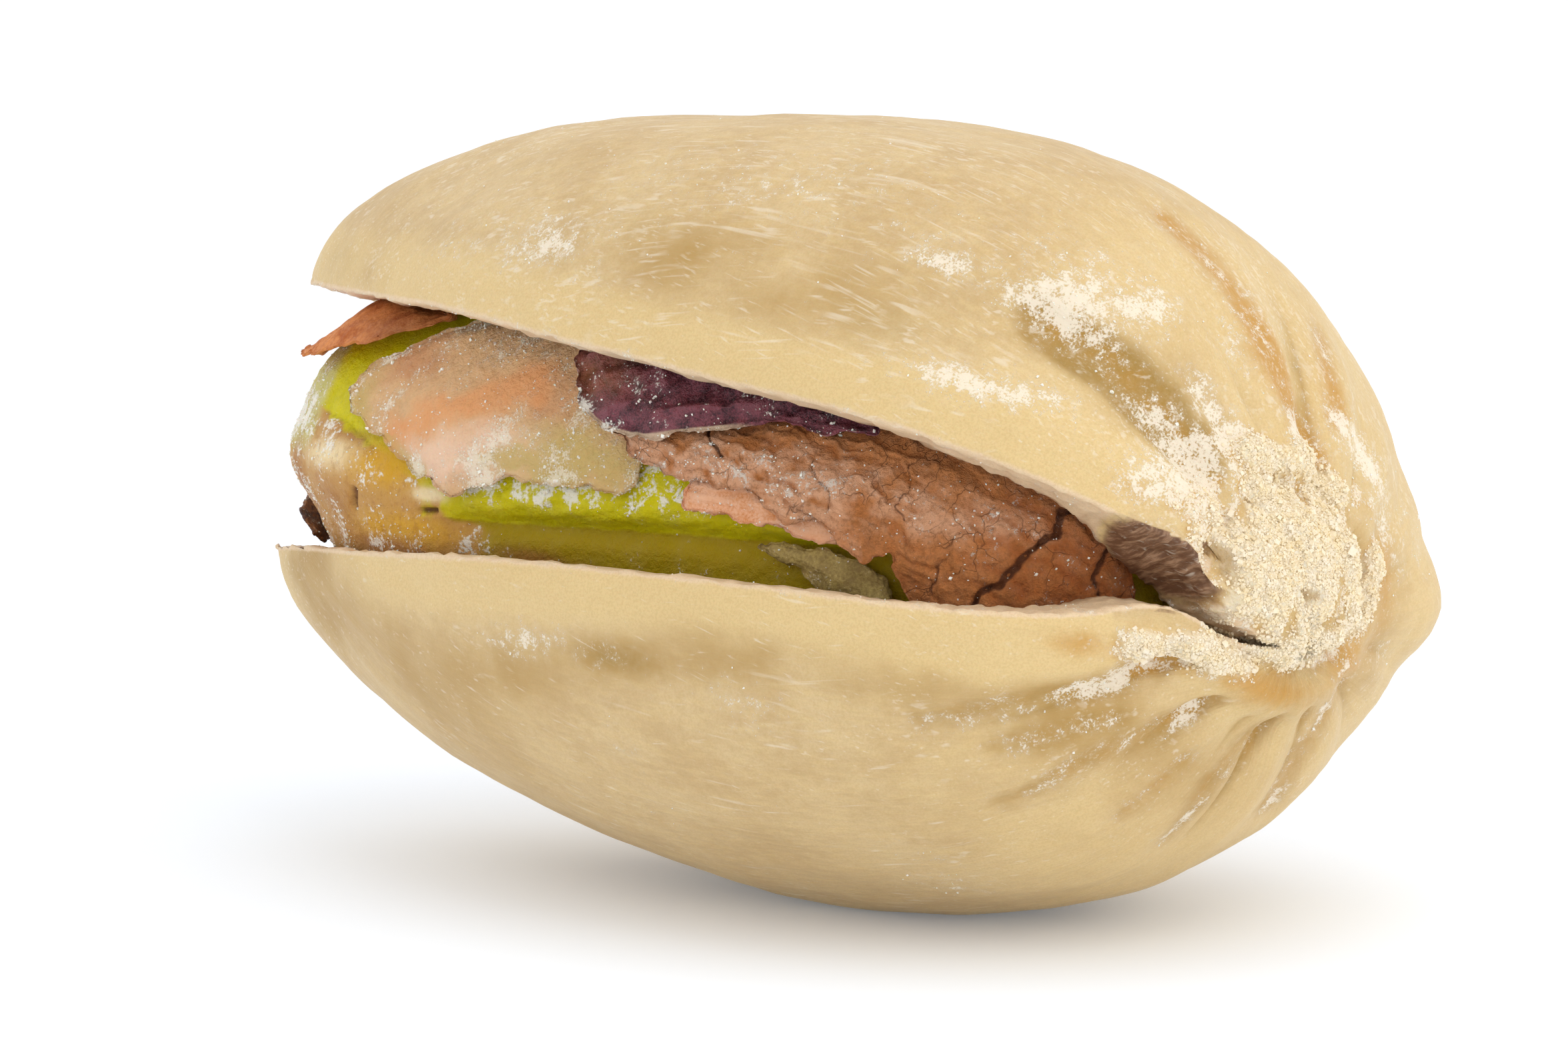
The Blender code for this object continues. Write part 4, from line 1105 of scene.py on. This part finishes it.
class PISTACHIO_OT_coat(bpy.types.Operator):
    """Shapes and colours the seven flakes of seed coat"""

    bl_idname = "pistachio.coat"
    bl_label = "Seed coat flakes"

    def execute(self, context):
        sizes, tones = context.scene.pistachio_sizes, context.scene.pistachio_colours
        self.straw(sizes, tones)
        self.flap(sizes, tones)
        self.plum(sizes, tones)
        self.russet(sizes, tones)
        self.under(sizes, tones)
        self.small("coat_olive", "olive_flake", sizes, tones, tones.olive, tones.straw_green, 0.3)
        self.small("coat_end", "end_flake", sizes, tones, tones.germ_brown, tones.plum, 0.35)
        return {"FINISHED"}

    def straw(self, sizes, tones):
        piece, skin, outer, thin = coat_skin("coat_straw", "straw_flake", sizes)
        points = skin.points
        flat = points[:, (0, 2)]
        skin.push(outer * (0.025 * rough(points, 0.9, 2, 21) + 0.018 * rough(points, 0.2, 3, 22)))
        warped = warp(flat, 0.5, 0.14, 23)
        orange = 1 - ease(near_line(warped, ORANGE_STREAK), 0.0, 0.75)
        pink = blob(warped, (-4.3, 0.25), (1.5, 0.42)) + 0.8 * blob(warped, (-3.2, 0.75), (0.9, 0.35))
        green = 1.1 * blob(warped, (-1.4, 0.55), (1.4, 0.6)) + 0.9 * blob(warped, (-2.9, 0.35), (1.0, 0.16))
        left_edge = 0.6 * thin * (warped[:, 1] < 0.6) * (warped[:, 0] < -5)
        green += 0.9 * blob(warped, (-7.0, 0.9), (0.45, 0.8)) + left_edge
        brown = blob(warped, (-6.2, 1.9), (1.1, 0.5)) + 0.7 * blob(warped, (-2.2, 1.5), (1.1, 0.5))
        dust = 0.5 + 0.3 * pink + 0.25 * blob(warped, (-6.5, 1.2), (0.7, 0.5)) - 0.15 * orange + 0.25 * thin
        dust *= 0.8 + 0.5 * rough(points, 0.5, 3, 25)
        skin.keep({"dust": dust, "orange": orange, "pink": pink, "green": green, "brown": brown})
        finish = Finish(
            "straw seed coat", 0.62, Subsurface_Weight=0.15, Subsurface_Scale=0.4 * MM, Specular_IOR_Level=0.2
        )
        finish.base(tones.straw, darker(tones.straw, 0.85), 1.5, 0.4, 0.02)
        finish.tint("brown", tones.flap, 2.0, 0.5, 0.45)
        finish.tint("pink", tones.straw_pink, 2.5, 0.5, 0.85)
        finish.tint("orange", tones.straw_orange, 3.5, 0.5, 0.7)
        finish.tint("green", tones.straw_green, 2.5, 0.5, 0.75)
        finish.grit(0.05, 14.0)
        finish.salt(tones.dust, 26.0, 0.016, 0.6, 0.1)
        wear(piece, finish, "coat_straw", "coat_straw")

    def flap(self, sizes, tones):
        piece, skin, outer, thin = coat_skin("coat_flap", "tip_flap", sizes)
        points = skin.points
        skin.push(outer * (0.02 * rough(points, 0.7, 2, 31) + 0.015 * rough(points, 0.18, 3, 32)))
        low = 1 - ease(points[:, 2] - (1.62 + 0.25 * (points[:, 0] + 8.0)), 0.0, 0.35)
        skin.keep({
            "dust": 0.5 * low + 0.15 * thin,
            "pink": 0.8 * low,
            "brown": blob(points, (-6.6, -3.0, 2.4), (1.2, 1.5, 0.5)),
        })
        finish = Finish("copper seed coat", 0.6, Specular_IOR_Level=0.2)
        finish.base(tones.flap, tones.russet, 1.8, 0.4, 0.02)
        finish.tint("brown", tones.russet_dark, 2.0, 0.5, 0.45)
        finish.tint("pink", tones.straw_pink, 3.0, 0.5, 0.6)
        finish.grit(0.025, 14.0)
        finish.salt(tones.salt, 17.0, 0.012, 0.65, 0.15)
        wear(piece, finish, "coat_flap", "coat_flap")

    def plum(self, sizes, tones):
        piece, skin, outer, thin = coat_skin("coat_plum", "plum_flake", sizes)
        points = skin.points
        ridges = abs(rough(points * np.array((0.45, 1, 1)), 0.55, 2, 41))
        folds = 1 - 2.2 * ridges + 0.5 * rough(points, 0.2, 3, 43)
        skin.push(outer * (FOLD_HEIGHT * folds + 0.015 * rough(points, 0.1, 2, 42)))
        left = 1 - ease(points[:, 0], -1.2, 0.6)
        lower_edge = np.interp(points[:, 0], (-1.7, -0.5, 1.0, 4.3), (1.6, 0.95, 1.05, 1.4))
        low = 1 - ease(points[:, 2] - lower_edge, 0.02, 0.4)
        clumps = 0.5 + 0.9 * rough(points, 0.4, 3, 44)
        skin.keep({
            "dust": 0.14 + (0.25 + 0.25 * left * (0.4 + 0.6 * low) + 0.25 * low) * np.clip(clumps, 0, 1),
            # Painted highlight: lighter on the tops of the folds, and lighter toward the low part
            "light": ease(folds, 0.2, 0.9) * 0.8 + 0.25 * low,
            "brown": left * ease(points[:, 2], 1.2, 1.9) * 0.4,
            # Partly the paler torn edge, partly a painted highlight along the thin curled lower edge
            "edge": (1 - ease(skin.rim, 0.02, 0.07)) * (1 - ease(points[:, 2], 1.35, 1.6)) * 0.9,
        })
        finish = Finish("plum seed coat", 0.3, Specular_IOR_Level=0.35)
        # Mottled between the dark coat and its paler tone, which is also the painted highlight
        finish.base(tones.plum, tones.plum_pale_and_highlight, 3.2, 0.5, 0.02)
        # Painted highlight on the tops of the folds
        finish.tint("light", tones.plum_pale_and_highlight, 5.0, 0.5, 0.7)
        finish.tint("brown", tones.russet, 3.0, 0.5, 0.6)
        # Partly the paler torn edge, partly a painted highlight along the thin curled lower edge
        finish.tint("edge", tones.broken, 6.0, 0.4, 0.7)
        finish.grit(0.09, 8.0, 4.0, 0.7)
        finish.salt(tones.salt, 17.0, 0.014, 0.85, 0.06)
        wear(piece, finish, "coat_plum", "coat_plum")

    def russet(self, sizes, tones):
        piece, skin, outer, thin = coat_skin("coat_russet", "russet_flake", sizes)
        points = skin.points
        flat = points[:, (0, 2)]
        warped = warp(points, 0.4, 0.1, 51)
        flow = warp(points, 0.5, 0.16, 59) @ RIB_TURN.T
        crack = deepest(warped[:, (0, 2)], RUSSET_CRACKS)
        edge, cell = cells(warped * np.array((0.45, 1.0, 1.0)), 0.42)
        net = 1 - ease(edge, 0.02, 0.16)
        flaky = ease(rough(points, 1.2, 2, 54), -0.3, 0.5) * (1 - ease(flat[:, 0], 5.5, 7.0))
        ribs = rough(flow, 0.16, 3, 58)
        height = STEP_HEIGHT * (cell - 0.5) * flaky - SEAM_DEPTH * net * flaky - crack + RIB_HEIGHT * ribs
        height += FINE_RIB_HEIGHT * rough(flow, 0.06, 3, 55)
        skin.push(outer * height)
        light = blob(flat, (1.6, 0.8), (1.9, 0.45)) + blob(flat, (3.4, 0.7), (1.6, 0.45))
        light += 0.55 * blob(flat, (5.8, 0.5), (1.8, 0.4))
        light = light * (0.7 + 0.6 * rough(points, 0.3, 3, 56) + 0.4 * ribs)
        light = light + 0.3 * thin * (flat[:, 0] < 4.6) + 0.15
        # Browner toward the right end; darker toward the top as a painted shadow under the plum flake; darker
        # toward the bottom
        dark = ease(flat[:, 0], 5.5, 8.0) * 0.75 + 0.4 * ease(flat[:, 1], 1.2, 1.9)
        dark = dark + 0.2 * (1 - ease(flat[:, 1], -1.2, -0.6))
        seams = 0.4 * net * flaky * ease(rough(points, 0.9, 2, 57), -0.2, 0.4)
        write_vector(piece.data, "flow", flow)
        skin.keep({
            "dust": 0.14 + 0.3 * light + 0.08 * ease(flat[:, 0], 4, 7),
            "light": light,
            # Partly the coat's own brown, partly painted shadow at its top
            "dark": dark - 0.3 * ribs,
            "crack": np.maximum(np.clip(crack / 0.07, 0, 1), seams) * outer,
        })
        finish = Finish("russet seed coat", 0.7, Specular_IOR_Level=0.2)
        finish.base(tones.russet, darker(tones.russet, 0.72), 2.0, 0.5, 0.03)
        lines = finish.streaks("flow", 6.0)
        finish.layer(lines["Mask"], darker(tones.russet, 0.5), 0.25)
        finish.raise_by(lines["Height"], -0.07)
        finish.tint("light", tones.russet_light, 4.0, 0.45, 0.8)
        # Partly the coat's own brown, partly painted shadow at its top
        finish.tint("dark", tones.flap, 2.5, 0.6, 0.7)
        net = finish.effect("Cracks", Scale=1.7, Width=0.022)
        finish.layer(net["Mask"], tones.russet_dark, 0.35)
        finish.raise_by(net["Height"], 0.03)
        finish.tint("crack", tones.russet_dark, 6.0, 0.35, 0.9)
        finish.grit(0.08, 16.0, 4.0, 0.75)
        finish.layer(finish.specks(0.48, 0.62, 11.0, 4.0, 0.75), darker(tones.russet, 0.45), 0.4)
        finish.salt(tones.salt, 18.0, 0.012, 0.65, 0.12)
        wear(piece, finish, "coat_russet", "coat_russet")

    def under(self, sizes, tones):
        piece, skin, outer, thin = coat_skin("coat_under", "under_flake", sizes)
        points = skin.points
        layers = rough(points * np.array((0.25, 1, 1.6)), 0.2, 3, 61)
        skin.push(outer * 0.035 * layers)
        skin.keep({"dust": 0.25 + 0.15 * thin, "light": ease(layers, -0.2, 0.6)})
        finish = Finish("under seed coat", 0.68, Specular_IOR_Level=0.2)
        finish.base(tones.russet, tones.russet_light, 2.5, 0.5, 0.03)
        finish.tint("light", tones.russet_light, 4.0, 0.5, 0.7)
        finish.grit(0.04, 12.0, 4.0, 0.7)
        finish.salt(tones.salt, 16.0, 0.012, 0.65, 0.3)
        wear(piece, finish, "coat_under", "coat_under")

    def small(self, node, name, sizes, tones, first, second, dust):
        piece, skin, outer, thin = coat_skin(node, name, sizes)
        skin.push(outer * 0.03 * rough(skin.points, 0.3, 3, 71))
        skin.keep({"dust": dust * (0.7 + 0.3 * thin)})
        finish = Finish(name.replace("_", " "), 0.6)
        finish.base(first, second, 2.0, 0.5, 0.03)
        finish.grit(0.04, 12.0, 4.0, 0.7)
        finish.salt(tones.dust, 18.0, 0.012, 0.65, 0.1)
        wear(piece, finish, node, node)


class PISTACHIO_OT_salt(bpy.types.Operator):
    """Scatters loose salt grains over the finished pieces, where their dust is"""

    bl_idname = "pistachio.salt"
    bl_label = "Salt grains"

    def execute(self, context):
        sizes, tones = context.scene.pistachio_sizes, context.scene.pistachio_colours
        salt = Finish("salt crystal", 0.45, Subsurface_Weight=0.2, Subsurface_Scale=0.05 * MM)
        salt.base(tones.salt, darker(tones.salt, 0.95), 20.0)
        self.scatter("salt_grains", sizes.salt_count, sizes.salt_size, SALT_SHARES, "dust", salt, seed=7)
        crumb = Finish("crust crumb", 0.8)
        crumb.base(tones.crust, tones.crust_white, 4.0)
        crusted = {"split_shell": 1.0}
        self.scatter("scar_crumbs", sizes.crumb_count, sizes.crumb_size, crusted, "crumbs", crumb, seed=8)
        return {"FINISHED"}

    def scatter(self, name, amount, size, shares, where, finish, seed):
        """Makes one piece of many grains that lie where a mask of the pieces says."""
        chance = np.random.RandomState(seed)
        uneven, spread, flattest, raised = 0.25, 0.38, 0.55, 0.2
        bpy.ops.object.select_all(action="DESELECT")
        bpy.ops.mesh.primitive_cube_add(size=1.5)
        bpy.ops.object.mode_set(mode="EDIT")
        bpy.ops.mesh.quads_convert_to_tris()
        bpy.ops.object.mode_set(mode="OBJECT")
        model = bpy.context.object
        model.name = name
        corners = read(model.data.vertices, "co", 3)
        corners *= 1 + uneven * chance.uniform(-1, 1, (len(corners), 1))
        sides = read(model.data.polygons, "vertices", 3).astype(int)
        places, facings = self.spots(amount, shares, where, chance)
        count = len(places)
        radius = size * chance.lognormal(0.0, spread, count)
        turns = self.turns(chance.uniform(0, 1, (count, 3)))
        squash = chance.uniform(flattest, 1.0, (count, 1, 3))
        grains = np.einsum("nij,nkj->nki", turns, corners[None] * squash) * radius[:, None, None]
        grains += (places + facings * radius[:, None] * raised)[:, None]
        faces = sides[None] + (np.arange(count) * len(corners))[:, None, None]
        mesh = bpy.data.meshes.new(name)
        mesh.from_pydata(grains.reshape(-1, 3).tolist(), [], faces.reshape(-1, 3).tolist())
        old = model.data
        model.data = mesh
        bpy.data.meshes.remove(old)
        wear(model, finish, "shell")

    def spots(self, count, shares, where, chance):
        """Places and outward directions for the grains, more of them where the mask is higher."""
        bare, steepness, back = 0.15, 1.5, 1.0
        gathered = []
        for name, share in shares.items():
            mesh = bpy.data.objects[name].data
            dust = read_mask(mesh, where)
            mesh.calc_loop_triangles()
            corners = read(mesh.loop_triangles, "vertices", 3).astype(int)
            points = read(mesh.vertices, "co", 3)[corners]
            across = np.cross(points[:, 1] - points[:, 0], points[:, 2] - points[:, 0])
            area = np.linalg.norm(across, axis=-1) + 1e-15
            nut = to_nut(points.mean(1))
            seen = (nut[:, 1] < back) if name != "split_shell" else np.ones(len(nut), bool)
            weight = area * np.clip(dust[corners].mean(1) - bare, 0, 1) ** steepness * share * seen
            gathered.append((points, across / area[:, None], weight))
        points, facings, weights = (np.concatenate(part) for part in zip(*gathered))
        chosen = chance.choice(len(weights), count, p=weights / weights.sum())
        mix = chance.dirichlet((1, 1, 1), count)
        return (points[chosen] * mix[..., None]).sum(1), facings[chosen]

    def turns(self, numbers):
        """Random turns, one matrix for each row of three numbers."""
        share = numbers[:, 0]
        second, third = 2 * np.pi * numbers[:, 1], 2 * np.pi * numbers[:, 2]
        w, x = np.sqrt(1 - share) * np.sin(second), np.sqrt(1 - share) * np.cos(second)
        y, z = np.sqrt(share) * np.sin(third), np.sqrt(share) * np.cos(third)
        rows = (
            (1 - 2 * (y * y + z * z), 2 * (x * y - z * w), 2 * (x * z + y * w)),
            (2 * (x * y + z * w), 1 - 2 * (x * x + z * z), 2 * (y * z - x * w)),
            (2 * (x * z - y * w), 2 * (y * z + x * w), 1 - 2 * (x * x + y * y)),
        )
        return np.moveaxis(np.array(rows), -1, 0)


class PISTACHIO_OT_stage(bpy.types.Operator):
    """Adds the pale floor, the soft studio lights and the camera"""

    bl_idname = "pistachio.stage"
    bl_label = "Floor, lights and camera"

    def execute(self, context):
        stage = context.scene.pistachio_stage
        aim = Vector(stage.aim)
        bpy.ops.object.select_all(action="DESELECT")
        bpy.ops.mesh.primitive_circle_add(vertices=96, radius=0.9, fill_type="NGON", location=(0, 0, 0))
        floor = context.object
        floor.name = "floor"
        paint = bpy.data.materials.new("matt pale floor")
        paint.use_nodes = True
        shader = paint.node_tree.nodes["Principled BSDF"]
        for name, value in (
            ("Base Color", (*stage.floor, 1.0)), ("Roughness", 0.9), ("Specular IOR Level", 0.1),
            ("Emission Color", (0.8, 0.95, 1.2, 1.0)), ("Emission Strength", stage.floor_glow),
        ):
            shader.inputs[name].default_value = value
        floor.data.materials.append(paint)

        back = Vector((
            math.sin(stage.azimuth) * math.cos(stage.elevation),
            -math.cos(stage.azimuth) * math.cos(stage.elevation),
            math.sin(stage.elevation),
        ))
        side = Vector((math.cos(stage.azimuth), math.sin(stage.azimuth), 0))
        place = aim + back * stage.distance
        bpy.ops.object.camera_add(location=place, rotation=back.to_track_quat("Z", "Y").to_euler())
        camera = context.object
        camera.data.lens = stage.lens
        camera.data.sensor_width = 36
        camera.data.clip_start = 0.01
        context.scene.camera = camera

        for name, near, aside, up, size, share in LIGHTS:
            place = aim + back * near + side * aside + Vector((0, 0, up))
            turn = (place - aim).to_track_quat("Z", "Y").to_euler()
            bpy.ops.object.light_add(type="AREA", location=place, rotation=turn)
            context.object.name = name
            context.object.data.size = size
            context.object.data.energy = stage.key * share
        world = bpy.data.worlds.new("studio")
        world.use_nodes = True
        sky = world.node_tree.nodes["Background"]
        sky.inputs["Color"].default_value = (1.0, 1.0, 1.0, 1.0)
        sky.inputs["Strength"].default_value = stage.fill
        context.scene.world = world
        context.scene.view_settings.view_transform = "Standard"
        return {"FINISHED"}


class PISTACHIO_PT_panel(bpy.types.Panel):
    """Lists the pieces, and the sizes and colours that they use"""

    bl_idname = "PISTACHIO_PT_panel"
    bl_label = "Pistachio"
    bl_space_type = "VIEW_3D"
    bl_region_type = "UI"
    bl_category = "Pistachio"

    def draw(self, context):
        for operator in OPERATORS:
            self.layout.operator(operator.bl_idname)
        scene = context.scene
        for settings in (scene.pistachio_sizes, scene.pistachio_colours, scene.pistachio_stage):
            box = self.layout.box()
            for name in type(settings).__annotations__:
                box.prop(settings, name)


OPERATORS = (
    PISTACHIO_OT_shell, PISTACHIO_OT_kernel, PISTACHIO_OT_coat, PISTACHIO_OT_salt, PISTACHIO_OT_stage,
)
CLASSES = (PistachioColours, PistachioSizes, StageSettings, *OPERATORS, PISTACHIO_PT_panel)


def register():
    for cls in CLASSES:
        bpy.utils.register_class(cls)
    bpy.types.Scene.pistachio_colours = PointerProperty(type=PistachioColours)
    bpy.types.Scene.pistachio_sizes = PointerProperty(type=PistachioSizes)
    bpy.types.Scene.pistachio_stage = PointerProperty(type=StageSettings)


def unregister():
    del bpy.types.Scene.pistachio_stage
    del bpy.types.Scene.pistachio_sizes
    del bpy.types.Scene.pistachio_colours
    for cls in reversed(CLASSES):
        bpy.utils.unregister_class(cls)


def main():
    register()
    bpy.ops.pistachio.stage()
    bpy.ops.pistachio.shell()
    bpy.ops.pistachio.kernel()
    bpy.ops.pistachio.coat()
    bpy.ops.pistachio.salt()


if __name__ == "__main__":
    main()
